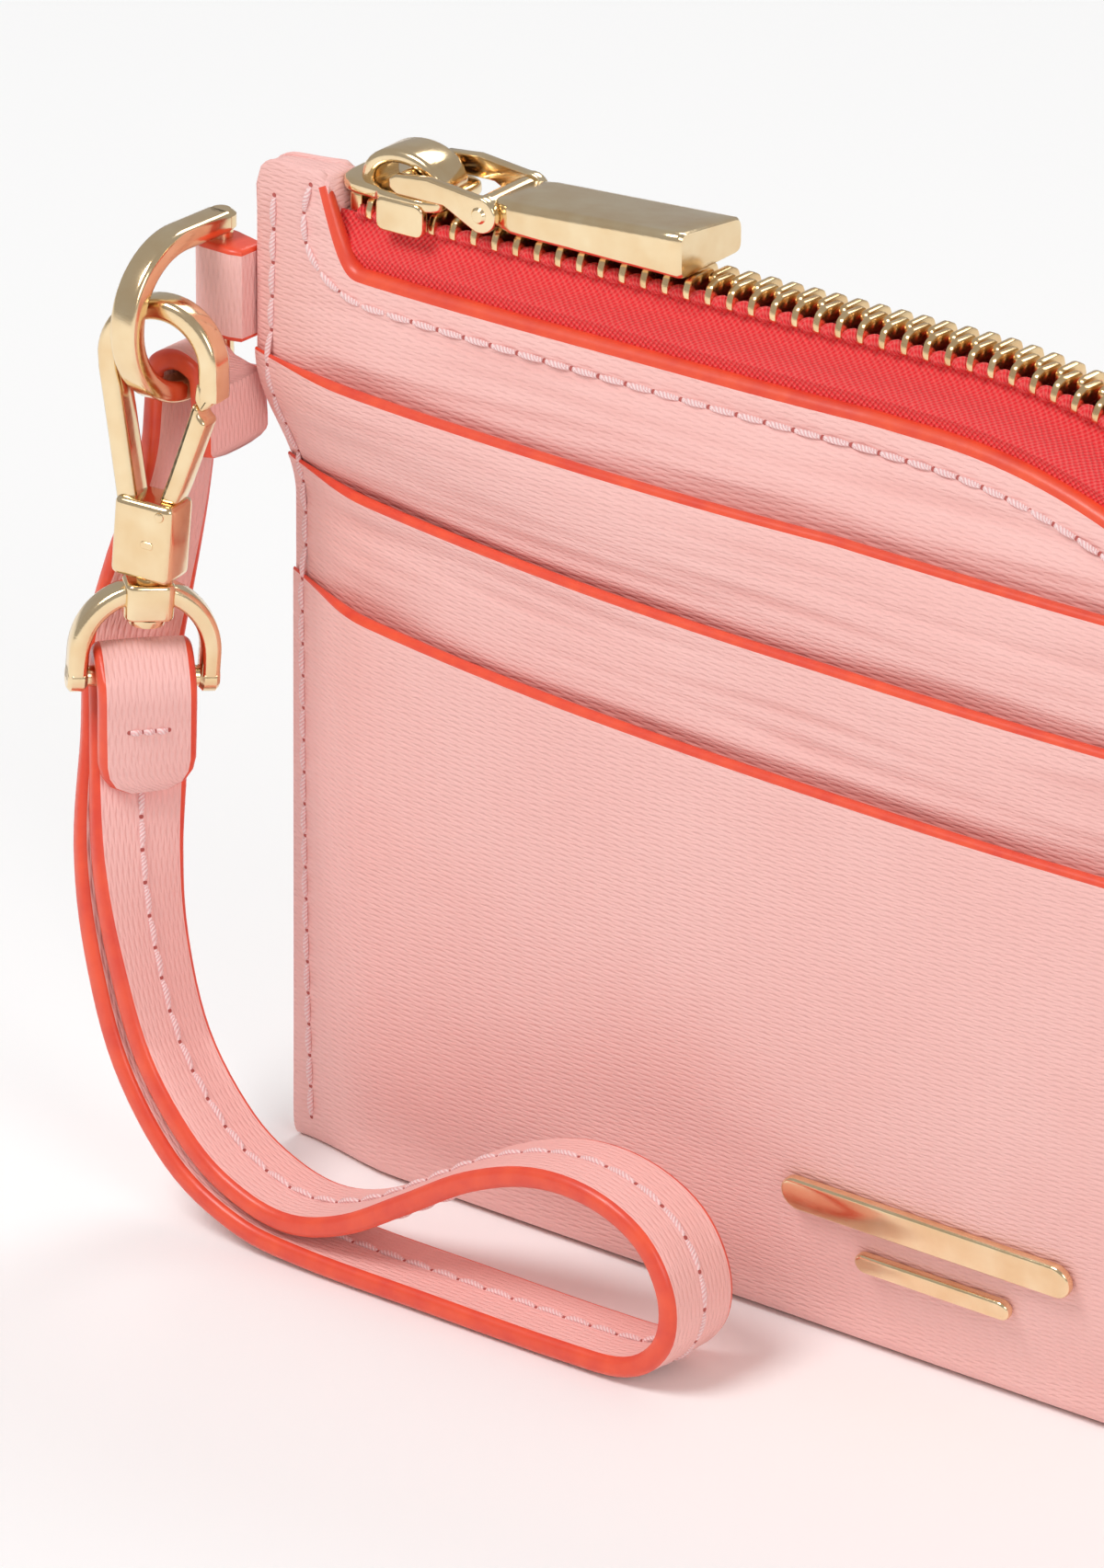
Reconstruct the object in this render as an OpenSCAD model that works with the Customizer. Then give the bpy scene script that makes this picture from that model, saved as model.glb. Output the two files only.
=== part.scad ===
// Wristlet wallet: a slim leather card case with an L-shaped zip, three card pockets,
// a D-ring in the side seam and a short wrist strap on a swivel snap hook.
// Millimetres. X runs along the wallet, the front faces -Y, and Z is up.
// Inside the functions, u is the distance from the wallet's left edge.

/* [Wallet] */
// Height of the leather at the top left corner
wallet_h = 86; // [84:0.5:88]
// Height of the zip opening's leather edge
opening_h = 79; // [78:0.5:80]
// How far the front swells at the middle
front_swell = 8.0; // [6:0.1:8.2]
// How far the back swells at the middle
back_swell = 7.6; // [5:0.1:8]
// How far the ring tab pulls the top left corner forward
corner_pull = 5.4; // [4.8:0.1:5.6]
// Height of the lowest card pocket's edge
pocket_low_h = 50; // [46:0.5:52]
// Height of the middle card pocket's edge
pocket_mid_h = 60; // [58:0.5:62]
// Height of the highest card pocket's edge
pocket_high_h = 70; // [68:0.5:71]

/* [Leather] */
// Distance from one leather layer to the next, away from the seams
layer_step = 1.2; // [1.1:0.05:1.3]
// The same where the layers are skived and sewn together
seam_step = 0.45; // [0.4:0.01:0.5]
// Air left between two layers at the seams
layer_gap = 0.15; // [0.1:0.01:0.2]
// More air where the layers lie loose
loose_gap = 0.2; // [0.15:0.01:0.3]
// Thickness of the cloth lining
lining_t = 0.35; // [0.3:0.01:0.4]
// Width of the wrist strap
strap_w = 8; // [7.5:0.1:8.2]
// Thickness of the wrist strap
strap_t = 1.7; // [1.5:0.1:1.8]

/* [Zip] */
// Distance between two teeth of one side
tooth_pitch = 2; // [1.9:0.1:2.4]
// Length of a tooth across the chain
tooth_len = 3; // [2.6:0.1:3.1]
// Width of a tooth along the chain
tooth_w = 0.8; // [0.6:0.05:0.9]

/* [Hardware] */
// Outer radius of the D-ring's round end
ring_r = 7.2; // [7:0.1:7.3]
// Outer radius of the snap hook's round top
hook_r = 5.4; // [5.2:0.1:5.6]
// Half the outer width of the swivel bail
bail_r = 6.1; // [6:0.05:6.2]
// Radial clearance in the pivots
fit = 0.05; // [0.02:0.01:0.08]

/* [Hidden] */
$fn = 48;
wallet_w = 138;
corner_u = 66; // where the zip leaves the straight top
corner_z = 15; // where it has come down on the right
corner_r = opening_h - corner_z;
chain_off = 4.6; // height of the chain over the leather edge
chain_u0 = 9.5;
tooth_h = 1.5;
pull_left = [-3.6, -4.1]; // axis of the D-ring's bar, as u and y
ring_mid = [-9.1, 73.3]; // centre of the D-ring's round end, as y and z
swivel_at = [-3.85, -12.9, 51]; // foot of the snap hook
lean = 4; // the hook leans to the right
lean_dir = 39; // in this vertical plane
hook_turn = 12; // the hook's plane, turned from the wallet's front
bail_turn = 50; // the bail's plane
bar_drop = 7.5; // bail bar below the foot of the hook
slider_u = 12.4;
chain_slope = 0.0665;

// ---- shapes of the soft body ----

function smooth(a) = let (c = min(1, max(0, a))) c * c * (3 - 2 * c);
function swell(u) = let (t = min(1, abs(1 - u / 69))) pow(max(0, 1 - t * t), 0.75);
function skive(u) = smooth(min(u, wallet_w - u) / 12);
function step_at(u) = seam_step + (layer_step - seam_step) * skive(u);
function gap_at(u) = layer_gap + loose_gap * skive(u);

// share of the swell at a height, on the front and on the back
function front_rise(z) = lookup(z, [[0, -0.12], [4, 0.06], [10, 0.3], [25, 0.67], [40, 0.87],
                                    [50, 0.95], [60, 1], [68, 1], [74, 0.8], [79, 0.58], [86, 0.4]]);
function back_rise(z) = lookup(z, [[0, 0.24], [4, 0.34], [10, 0.5], [25, 0.8], [40, 0.96],
                                   [50, 1], [60, 1], [70, 0.97], [79, 0.85], [86, 0.6]]);
// the top left corner is pulled towards the front
function pull(u, z) = corner_pull * max(0, 1 - u / 60) * smooth((z - 56) / 14);
function back_pull(u, z) = pull(u, z) * (1 - 0.75 * smooth((u - 4) / 14));

function front_y(u, z) = 1.35 - front_swell * front_rise(z) * swell(u) - pull(u, z);
function back_y(u, z) = 2.9 + back_swell * back_rise(z) * swell(u) - back_pull(u, z);

// the leather's top outline: ear, opening, big corner, small ear at the bottom right
function ear_round(d) = d >= 2.5 ? 0 : 2.5 - sqrt(6.25 - pow(2.5 - d, 2));
function top_z(u) =
    u < 11 ? opening_h + (wallet_h - opening_h) * (1 - smooth((u - 5.5) / 5)) - ear_round(u)
    : u < corner_u ? opening_h
    : u < corner_u + corner_r - 0.2
        ? corner_z + sqrt(corner_r * corner_r - pow(u - corner_u, 2))
    : 8 + (corner_z - 3 - 8) * (1 - smooth((u - 129.8) / 3)) - ear_round(wallet_w - u);

COLS = [0, 0.8, 2.5, 5.5, 7, 8, 9, 10.5, 13, 18, 24, 31, 38, 45, 52, 59, 66, 73, 80, 87, 94,
        101, 108, 114, 119, 123, 126, 128.4, 129.6, 131, 132.8, 135.5, 137.2, 138];

// ---- builders ----

function quad(a, b, c, d) = [[a, b, c], [a, c, d]];

// closed solid between two grids of points that have the same rows and columns
module slab(outer, inner) {
    r = len(outer);
    c = len(outer[0]);
    pts = concat([for (row = outer) each row], [for (row = inner) each row]);
    n = r * c;
    faces = concat(
        [for (i = [0:r - 2], j = [0:c - 2])
            each quad(i * c + j, i * c + j + 1, (i + 1) * c + j + 1, (i + 1) * c + j)],
        [for (i = [0:r - 2], j = [0:c - 2])
            each quad(n + i * c + j, n + (i + 1) * c + j, n + (i + 1) * c + j + 1, n + i * c + j + 1)],
        [for (j = [0:c - 2]) each quad(j, n + j, n + j + 1, j + 1)],
        [for (j = [0:c - 2]) let (k = (r - 1) * c + j) each quad(k, k + 1, n + k + 1, n + k)],
        [for (i = [0:r - 2]) let (k = i * c) each quad(k, k + c, n + k + c, n + k)],
        [for (i = [0:r - 2]) let (k = i * c + c - 1) each quad(k, n + k, n + k + c, k + c)]);
    polyhedron(pts, faces, convexity = 6);
}

function at(u, y, z) = [u - wallet_w / 2, y, z];

// one layer on the front: how many steps in front of the base panel, and from where to where
module front_layer(steps, low, high, rows, trim) {
    function z_at(u, s) = low + (min(high, top_z(u) - trim) - low) * s;
    function y_at(u, z) = front_y(u, z) - steps * step_at(u);
    slab([for (i = [0:rows]) [for (u = COLS) let (z = z_at(u, i / rows)) at(u, y_at(u, z), z)]],
         [for (i = [0:rows]) [for (u = COLS) let (z = z_at(u, i / rows))
             at(u, y_at(u, z) + step_at(u) - gap_at(u), z)]]);
}

// a cloth sheet inside, which stops short of the zip: front is side -1, back is side 1
module lining_sheet(side) {
    cols = [for (u = COLS) if (u > 2 && u < 127) u];
    rows = 12;
    low = 4.4;
    function high(u) = u < corner_u ? opening_h - 2
        : corner_z + sqrt(pow(corner_r - 2.5, 2) - pow(u - corner_u, 2));
    function z_at(u, s) = low + (high(u) - low) * s;
    function face_y(u, z) = side < 0 ? front_y(u, z) + step_at(u) : back_y(u, z) - step_at(u);
    function thick(u) = lining_t - 0.2 * (1 - skive(u));
    function grid(in) = [for (i = [0:rows]) [for (u = cols) let (z = z_at(u, i / rows))
        at(u, face_y(u, z) - side * in * thick(u), z)]];
    if (side < 0) slab(grid(0), grid(1));
    else slab(grid(1), grid(0));
}

// ---- leather and lining ----

module front_panel() {
    color("lightpink") front_layer(0, 3.4, 200, 18, 0);
}

module pocket_panel_upper() {
    color("pink") front_layer(1, 2.6, pocket_high_h, 16, 0.3);
}

module pocket_panel_middle() {
    color("lightpink") front_layer(2, 2.0, pocket_mid_h, 14, 0.5);
}

// lowest pocket, folded bottom and back in one piece of leather
module outer_wrap() {
    function front_z(u, s) = 1.6 + (min(pocket_low_h, top_z(u) - 0.7) - 1.6) * s;
    function back_z(u, s) = 1.6 + (top_z(u) - 1.6) * s;
    function out_y(u, z) = front_y(u, z) - 3 * step_at(u);
    front_rows = [for (i = [12:-1:0]) i / 12];
    back_rows = [for (i = [0:18]) i / 18];
    color("lightpink") slab(
        concat(
            [for (s = front_rows) [for (u = COLS) let (z = front_z(u, s))
                at(u, out_y(u, z) + step_at(u) - gap_at(u), z)]],
            [for (s = back_rows) [for (u = COLS) let (z = back_z(u, s))
                at(u, back_y(u, z) - step_at(u) + gap_at(u), z)]]),
        concat(
            [for (s = front_rows) if (s > 0) [for (u = COLS) let (z = front_z(u, s))
                at(u, out_y(u, z), z)]],
            [[for (u = COLS) at(u, out_y(u, 1.6) + 0.1, 0)]],
            [[for (u = COLS) at(u, back_y(u, 1.6) - 0.1, 0)]],
            [for (s = back_rows) if (s > 0) [for (u = COLS) let (z = back_z(u, s))
                at(u, back_y(u, z), z)]]));
}

module lining_front() {
    color("tan") lining_sheet(-1);
}

module lining_back() {
    color("tan") lining_sheet(1);
}

// ---- zip ----

// a point near the zip's path: way is the length along it, rise the height over the leather edge
arc_len = (corner_r + chain_off) * PI / 2;
straight_len = corner_u - chain_u0;
function way_angle(way) = way <= straight_len ? 0 : (way - straight_len) / arc_len * 90;
function zip_uz(way, rise) = let (a = way_angle(way))
    [min(chain_u0 + way, corner_u) + (corner_r + rise) * sin(a),
     corner_z + (corner_r + rise) * cos(a)];
function chain_y(u) = u < corner_u ? -0.5 + chain_slope * (u - 9) : 3.3 - 0.6 * smooth((u - 90) / 40);
function chain_point(way, rise, side) = let (p = zip_uz(way, rise)) at(p[0], chain_y(p[0]) + side, p[1]);

tape_ways = concat([for (i = [0:8]) straight_len * i / 8], [for (i = [1:16]) straight_len + arc_len * i / 16]);

// front is side -1, back is side 1
module zip_tape(side) {
    function edge_y(way) = let (p = zip_uz(way, -1.5), u = p[0], z = p[1])
        side < 0 ? front_y(u, z) + step_at(u) + 0.15 : back_y(u, z) - step_at(u) - 0.15;
    function lip_y(way) = let (p = zip_uz(way, 0)) side < 0
        ? min(edge_y(way), chain_y(p[0]) - 2.6) : max(edge_y(way), chain_y(p[0]) + 2.6);
    function across(way, in) = [
        let (p = zip_uz(way, -1.5)) at(p[0], edge_y(way) - side * in, p[1]),
        let (p = zip_uz(way, 0.3)) at(p[0], edge_y(way) - side * in, p[1]),
        let (p = zip_uz(way, 1.1 - in * 0.7)) at(p[0], lip_y(way) - side * in, p[1]),
        chain_point(way, 2.2 - in * 0.8, side * (2.5 - in)),
        chain_point(way, chain_off - tooth_h / 2 - 0.05 - in * 0.8, side * (1.7 - in * 0.6))];
    upper = [for (w = tape_ways) across(w, 0)];
    lower = [for (w = tape_ways) across(w, 0.45)];
    if (side < 0) slab(lower, upper);
    else slab(upper, lower);
}

module zip_tape_front() {
    color("crimson") zip_tape(-1);
}

module zip_tape_back() {
    color("crimson") zip_tape(1);
}

module zip_teeth(side, shift) {
    n = floor((straight_len + arc_len - 3) / tooth_pitch);
    for (i = [0:n - 1]) {
        way = 1 + (i + shift) * tooth_pitch;
        p = zip_uz(way, chain_off);
        translate(at(p[0], chain_y(p[0]) + side * 0.85, p[1]))
            rotate([0, way_angle(way), 0])
                cube([tooth_w, tooth_len, tooth_h], center = true);
    }
}

module zip_teeth_front() {
    color("gold") zip_teeth(-1, 0);
}

module zip_teeth_back() {
    color("gold") zip_teeth(1, 0.5);
}

module zip_stop(way) {
    p = zip_uz(way, chain_off);
    translate(at(p[0], chain_y(p[0]), p[1])) rotate([0, way_angle(way), 0])
        cube([1.2, 4.2, tooth_h + 0.2], center = true);
}

module zip_stop_closed() {
    color("gold") zip_stop(-0.6);
}

module zip_stop_open() {
    color("gold") zip_stop(straight_len + arc_len - 1);
}

// slider, drawn about its own middle: u = slider_u, y = chain
module at_slider() {
    translate(at(slider_u, chain_y(slider_u), 0)) rotate([0, 0, atan(chain_slope)]) children();
}

plate_z = opening_h + chain_off + tooth_h / 2 + 0.3;

module slider_plan(half_w, nose) {
    polygon([[-5.2, -half_w * 0.55], [-3.6, -half_w], [3.4, -half_w], [5.2, -nose],
             [5.2, nose], [3.4, half_w], [-3.6, half_w], [-5.2, half_w * 0.55]]);
}

module slider_body() {
    color("gold") at_slider() {
        translate([0, 0, plate_z]) linear_extrude(1.1) slider_plan(3.7, 2.9);
        for (s = [-1, 1]) {
            // flange beside the chain, and its lip under the tape
            translate([-2.6, s * 3.35 - 0.35, plate_z - 2.2]) cube([6.6, 0.7, 2.4]);
            translate([-2.6, s * 3.2 - 0.5, plate_z - 2.6]) cube([6.6, 1, 0.5]);
        }
        // crown, an arch over the link's bar
        difference() {
            translate([0.6, 2, plate_z + 0.9]) rotate([90, 0, 0]) linear_extrude(4) difference() {
                union() {
                    intersection() {
                        circle(r = 3.9);
                        translate([-5, 0]) square([10, 5]);
                    }
                }
                translate([1.0, 0.9]) circle(r = 1.15);
                translate([-0.9, 0.9]) circle(r = 1.15);
                translate([-0.9, -0.25]) square([1.9, 2.3]);
            }
            translate([-4, -3, plate_z + 4]) cube([10, 6, 3]);
        }
    }
}

link_half = 3.4; // from the chain's middle to the middle of a link arm
bar_x = 1.5; // link bar from the slider's middle
bar_z = 86.6;
pin_x = 9.4;
pin_z = 85.8;

module pull_link() {
    color("gold") at_slider() {
        translate([bar_x, 4, bar_z]) rotate([90, 0, 0]) cylinder(r = 0.75, h = 8);
        for (s = [-1, 1]) translate([0, s * link_half + 0.4, 0]) rotate([90, 0, 0])
            linear_extrude(0.8) difference() {
                union() {
                    translate([bar_x, bar_z]) circle(r = 0.75);
                    translate([pin_x, pin_z]) circle(r = 1.5);
                    polygon([[bar_x, bar_z + 0.75], [bar_x, bar_z - 0.75], [bar_x + 4.5, bar_z - 0.75],
                             [pin_x - 0.2, pin_z - 1.48], [pin_x - 0.2, pin_z + 1.48]]);
                }
                translate([pin_x, pin_z]) circle(r = 0.7);
            }
    }
}

module pull_pin() {
    color("gold") at_slider() translate([pin_x, link_half + 0.6, pin_z]) rotate([90, 0, 0])
        cylinder(r = 0.7, h = 2 * link_half + 1.2);
}

tab_len = 19.2;
knuckle_r = 1.3;

module pull_tab() {
    color("gold") at_slider() translate([pin_x, 0, pin_z]) difference() {
        union() {
            rotate([90, 0, 0]) translate([0, 0, -2.85]) cylinder(r = knuckle_r, h = 5.7);
            intersection() {
                translate([0, 0, -knuckle_r]) linear_extrude(5)
                    polygon([[0, -2.85], [1.7, -2.85], [2.2, -3.3], [tab_len, -4.3],
                             [tab_len, 4.3], [2.2, 3.3], [1.7, 2.85], [0, 2.85]]);
                rotate([90, 0, 0]) translate([0, 0, -6]) linear_extrude(12)
                    polygon([[0, -knuckle_r], [tab_len, -1], [tab_len, 2.9], [0, knuckle_r]]);
                // the top slopes down towards the back
                translate([10, 0, -2.6]) rotate([-7, 0, 0]) translate([-12, -9, -4])
                    cube([24, 18, 8.7]);
            }
        }
        rotate([90, 0, 0]) translate([0, 0, -4]) cylinder(r = 0.7 + fit, h = 8);
    }
}

// ---- ring and its tab ----

ring_x = 2.5; // width of the ring's band
ring_t = 1.8; // thickness of the ring's band
tab_z = [70.4, 78.2];

module ring_tab() {
    color("lightpink") difference() {
        union() {
            translate(at(pull_left[0], pull_left[1], tab_z[0]))
                cylinder(r = 2.0, h = tab_z[1] - tab_z[0]);
            translate(at(pull_left[0], pull_left[1] - 2.0, tab_z[0]))
                cube([-pull_left[0] - 0.1, 3.2, tab_z[1] - tab_z[0]]);
        }
        translate(at(pull_left[0], pull_left[1], 60)) cylinder(r = 1 + fit, h = 30);
    }
}

module ring_section() {
    square([ring_t, ring_x - 0.6], center = true);
    square([ring_t - 0.6, ring_x], center = true);
    for (a = [-1, 1], b = [-1, 1])
        translate([a * (ring_t / 2 - 0.3), b * (ring_x / 2 - 0.3)]) circle(r = 0.3, $fn = 16);
}

module d_ring() {
    mid_r = ring_r - ring_t / 2;
    run = pull_left[1] - ring_mid[0];
    color("gold") {
        translate(at(pull_left[0], ring_mid[0], ring_mid[1])) rotate([0, 0, 90]) rotate([90, 0, 0]) {
            rotate([0, 0, 90]) rotate_extrude(angle = 180) translate([mid_r, 0]) ring_section();
            for (s = [-1, 1]) translate([0, s * mid_r, 0]) rotate([0, 90, 0])
                linear_extrude(run) rotate([0, 0, 90]) ring_section();
        }
        translate(at(pull_left[0], pull_left[1], ring_mid[1] - ring_r))
            cylinder(r = 1, h = 2 * ring_r);
        for (s = [-1, 1]) translate(at(pull_left[0], pull_left[1], ring_mid[1] + s * mid_r - ring_t / 2))
            cylinder(r = ring_x / 2, h = ring_t);
    }
}

// ---- snap hook and bail ----

// stands at the foot of the hook, leaning, with X in the plane of the part
module at_swivel(turn) {
    translate(at(swivel_at[0], swivel_at[1], swivel_at[2]))
        rotate([0, 0, lean_dir]) rotate([0, lean, 0]) rotate([0, 0, turn - lean_dir]) children();
}

hook_d = 2.6; // depth of the hook's bar
loop_z = 19.3; // centre of the round top over the foot
gate_pin_at = [1.55, 7.0];

module upright(depth) {
    translate([0, depth / 2, 0]) rotate([90, 0, 0]) linear_extrude(depth) children();
}

module hook_frame() {
    in_r = hook_r - 1.8;
    color("gold") at_swivel(hook_turn) difference() {
        union() {
            upright(hook_d) {
                difference() {
                    translate([0, loop_z]) circle(r = hook_r);
                    translate([0, loop_z]) circle(r = in_r);
                    translate([-8, loop_z - 8]) square([16, 8]);
                }
                polygon([[-hook_r, loop_z], [-in_r, loop_z], [-0.9, 8.5], [-0.9, 7], [-2.6, 7], [-2.7, 8.5]]);
                polygon([[in_r, loop_z], [hook_r, loop_z], [hook_r - 0.35, 17.1], [in_r + 0.5, 16.1],
                         [in_r + 0.5, 17.0], [in_r - 0.15, 17.4]]);
            }
            // collar
            translate([-2.65, -1.95, 1.2]) cube([5.3, 3.9, 6.8]);
        }
        // slot for the gate's foot, its pin and the rivet
        translate([-0.3, -0.85, 5.6]) cube([4, 1.7, 4]);
        translate([gate_pin_at[0], 3, gate_pin_at[1]]) rotate([90, 0, 0]) cylinder(r = 0.45, h = 6);
        cylinder(r = 1 + fit, h = 4.6);
        translate([0, 0, 3.2]) cylinder(r = 1.5 + fit, h = 1.4);
    }
}

module hook_gate() {
    color("gold") at_swivel(hook_turn) difference() {
        union() {
            upright(1.5) {
                translate(gate_pin_at) circle(r = 0.95);
                polygon([[gate_pin_at[0] - 0.9, gate_pin_at[1]], [gate_pin_at[0] + 0.95, gate_pin_at[1]],
                         [2.75, 9], [1.0, 9]]);
            }
            upright(2.2) polygon([[0.95, 8.4], [2.7, 8.4], [4.65, 15.3], [3.95, 15.9],
                                  [3.85, 16.5], [3.3, 16.8], [3.0, 15.5]]);
        }
        translate([gate_pin_at[0], 3, gate_pin_at[1]]) rotate([90, 0, 0])
            cylinder(r = 0.45 + fit, h = 6);
    }
}

module gate_pin() {
    color("gold") at_swivel(hook_turn)
        translate([gate_pin_at[0], 1.95, gate_pin_at[1]]) rotate([90, 0, 0]) cylinder(r = 0.45, h = 3.9);
}

head_z = [-2.3, 0.9];

// turns in the collar and is headed over inside it
module swivel_rivet() {
    color("gold") at_swivel(bail_turn) {
        translate([0, 0, head_z[0] - 0.7]) cylinder(r = 1, h = 4.3 - head_z[0] + 0.7);
        translate([0, 0, 3.3]) cylinder(r = 1.5, h = 1.1);
        translate([0, 0, head_z[0] - 0.9]) cylinder(r = 1.6, h = 0.9);
    }
}

module swivel_head() {
    color("gold") at_swivel(bail_turn) difference() {
        union() {
            translate([0, 0, head_z[0]]) cylinder(r = 2.0, h = head_z[1] - head_z[0]);
            translate([-1.9, -1.6, head_z[0]]) cube([3.8, 3.2, head_z[1] - head_z[0] - 0.4]);
        }
        translate([0, 0, -4]) cylinder(r = 1, h = 8);
    }
}

module bail() {
    in_r = bail_r - 1.6;
    mid_z = -bar_drop + 2.2;
    color("gold") at_swivel(bail_turn) difference() {
        union() {
            upright(2.4) {
                difference() {
                    translate([0, mid_z]) circle(r = bail_r);
                    translate([0, mid_z]) circle(r = in_r);
                    translate([-8, mid_z - 8]) square([16, 8]);
                }
                for (s = [-1, 1]) translate([s * (bail_r - 0.8), mid_z - 1.1]) square([1.6, 2.2], center = true);
                for (s = [-1, 1]) translate([s * (bail_r - 0.8), -bar_drop]) square([1.6, 2.2], center = true);
            }
            translate([-bail_r + 0.4, 0, -bar_drop]) rotate([0, 90, 0]) cylinder(r = 0.85, h = 2 * bail_r - 0.8);
        }
        // the head sits in the arch
        cylinder(r = 2.0, h = 10, center = true);
        translate([-1.9, -1.6, -5]) cube([3.8, 3.2, 8]);
    }
}

// ---- wrist strap ----

// u, y, z of the strap's middle and the heading of its width, from the ring to the bail
ROUTE = [[-1.3, -5.8, 61.6, 90], [-1.2, -5.9, 63.4, 90], [-1.25, -6.0, 65.3, 90], [-1.3, -6.1, 67.2, 90],
         [-1.65, -6.1, 68.6, 90], [-3.6, -6.1, 69.35, 90], [-5.55, -6.1, 68.6, 90], [-5.9, -6.1, 67.2, 90],
         [-6.0, -6.2, 65, 90], [-6.2, -6.4, 61, 88], [-6.9, -6.9, 56, 80], [-7.5, -8.6, 50, 64],
         [-7.6, -10.5, 44, 53], [-6.7, -12.1, 37, 56],
         [-5.9, -14.3, 29, 69], [-4.5, -15.3, 21, 82], [-1.7, -15.6, 12.5, 88], [3.5, -15.7, 5.6, 90],
         [10, -15.8, 2.2, 90], [17, -15.8, 1.25, 90], [30, -15.8, 1.15, 90], [43, -15.8, 1.15, 90],
         [50, -15.8, 1.7, 90], [53.5, -15.8, 4.6, 90], [53.9, -15.8, 8.8, 90], [51.4, -15.8, 12.9, 90],
         [46.5, -15.8, 15.1, 90], [40.5, -15.8, 15.1, 90], [34, -15.8, 12.8, 90], [27.5, -15.8, 8.9, 90],
         [21.5, -15.8, 5.4, 90], [16, -15.8, 3.8, 90], [10.8, -15.8, 4.6, 90], [5.6, -15.7, 7.5, 90],
         [0.7, -15.6, 13.6, 88], [-2.1, -15.4, 21.6, 82], [-3.5, -14.9, 29, 69], [-4.7, -13.3, 36.5, 55],
         [-5.6, -12.2, 40.4, 51], [-6.0, -11.77, 43.6, 50], [-4.26, -13.25, 45.75, 50],
         [-2.52, -14.7, 43.6, 50], [-2.7, -14.5, 40, 51], [-3.1, -14.2, 34.6, 56]];

function mix4(a, b, c, d, t) = 0.5 * ((2 * b) + (c - a) * t + (2 * a - 5 * b + 4 * c - d) * t * t
                                      + (3 * b - a - 3 * c + d) * t * t * t);
last = len(ROUTE) - 1;
ring_turn = 5; // where the route goes over the ring
waist_cut = 3.2;
function route(t) = let (i = min(floor(t), last - 1), f = t - i)
    mix4(ROUTE[max(0, i - 1)], ROUTE[i], ROUTE[i + 1], ROUTE[min(last, i + 2)], f);
function route_at(t) = let (p = route(t)) at(p[0], p[1], p[2]);
function unit(v) = v / norm(v);
function along(t) = unit(route_at(min(last, t + 0.02)) - route_at(max(0, t - 0.02)));
function width_dir(t) = let (a = route(t)[3], w = [cos(a), sin(a), 0], d = along(t))
    unit(w - d * (w * d));
function face_dir(t) = cross(width_dir(t), along(t));

// the strap is cut narrower where it passes the ring's bar
function waist(t) = waist_cut * max(0, min(1, 2 - abs(t - ring_turn)));

module wrist_strap() {
    n = last * 3;
    function ring_pt(t, a, b) = route_at(t) + width_dir(t) * (a * strap_w / 2 - max(a, 0) * waist(t))
        + face_dir(t) * b * strap_t / 2;
    ts = [for (i = [0:n]) i / 3];
    pts = [for (t = ts) each [ring_pt(t, -1, -1), ring_pt(t, 1, -1), ring_pt(t, 1, 1), ring_pt(t, -1, 1)]];
    faces = concat([[0, 1, 2, 3]],
                   [for (i = [0:n - 1], k = [0:3]) let (a = i * 4 + k, b = i * 4 + (k + 1) % 4)
                       each quad(a, a + 4, b + 4, b)],
                   [[n * 4 + 3, n * 4 + 2, n * 4 + 1, n * 4]]);
    color("lightpink") polyhedron(pts, faces, convexity = 10);
}

// a short row of thread across the strap
module tack(t, face) {
    p = route(t);
    translate(route_at(t) + face_dir(t) * face * (strap_t / 2 + 0.2)) rotate([0, 0, p[3]])
        cube([3.4, 0.24, 0.5], center = true);
}

module bail_tack() {
    color("mistyrose") tack(last - 1, -1);
}

module ring_tack() {
    color("mistyrose") tack(1.2, -1);
}

module strap_stitches() {
    color("mistyrose") for (i = [0:40]) {
        t = 13 + i * 0.55;
        p = route(t);
        translate(route_at(t) + face_dir(t) * (strap_t / 2 + 0.1)) rotate([0, 0, p[3]])
            cube([0.35, 0.2, 0.2], center = true);
    }
}

// ---- emblem and stitches ----

bar_lift = 0.15; // the bars stand just clear of the curved leather
bar_t = 0.85;
long_bar_z = 14;

// stands on the front at that height, with Z pointing out of the leather
module on_front(z) {
    y = front_y(69, z) - 3 * layer_step;
    slope = front_y(69, z - 1.5) - front_y(69, z + 1.5);
    translate([0, y, z]) rotate([90 + atan(slope / 3), 0, 0]) children();
}

module emblem_bar(long, tall, z) {
    color("gold") on_front(z) translate([0, 0, bar_lift]) linear_extrude(bar_t) {
        square([long - tall, tall], center = true);
        for (s = [-1, 1]) translate([s * (long - tall) / 2, 0]) circle(d = tall);
    }
}

module emblem_long_bar() {
    emblem_bar(28, 3, long_bar_z);
}

module emblem_short_bar() {
    emblem_bar(15, 1.8, 9.4);
}

module emblem_pins() {
    color("gold") for (s = [-1, 1]) on_front(long_bar_z)
        translate([s * 10, 0, -0.9]) cylinder(r = 0.4, h = 0.9 + bar_lift);
}

// how many layers lie on the base panel at a height
function layers_at(z) = z < pocket_low_h ? 3 : z < pocket_mid_h ? 2 : z < pocket_high_h ? 1 : 0;
thread_t = 0.22;
thread_lift = 0.3; // from the leather to the middle of the thread

// one stitch from p to q
module stitch(p, q) {
    d = q - p;
    translate((p + q) / 2) rotate([0, acos(d[2] / norm(d)), atan2(d[1], d[0])])
        cube([thread_t, thread_t, norm(d)], center = true);
}

module seam_stitches(left) {
    u = left ? 2.1 : wallet_w - 2.1;
    function point(z, steps) = at(u, front_y(u, z) - steps * step_at(u) - thread_lift, z);
    for (i = [0:(left ? 27 : 1)]) {
        z = 3 + i * 2.75;
        steps = layers_at(z - 1);
        stitch(point(z - 0.9, steps), point(z + 0.9, steps));
    }
}

module seam_stitches_left() {
    color("mistyrose") seam_stitches(true);
}

module seam_stitches_right() {
    color("mistyrose") seam_stitches(false);
}

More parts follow.
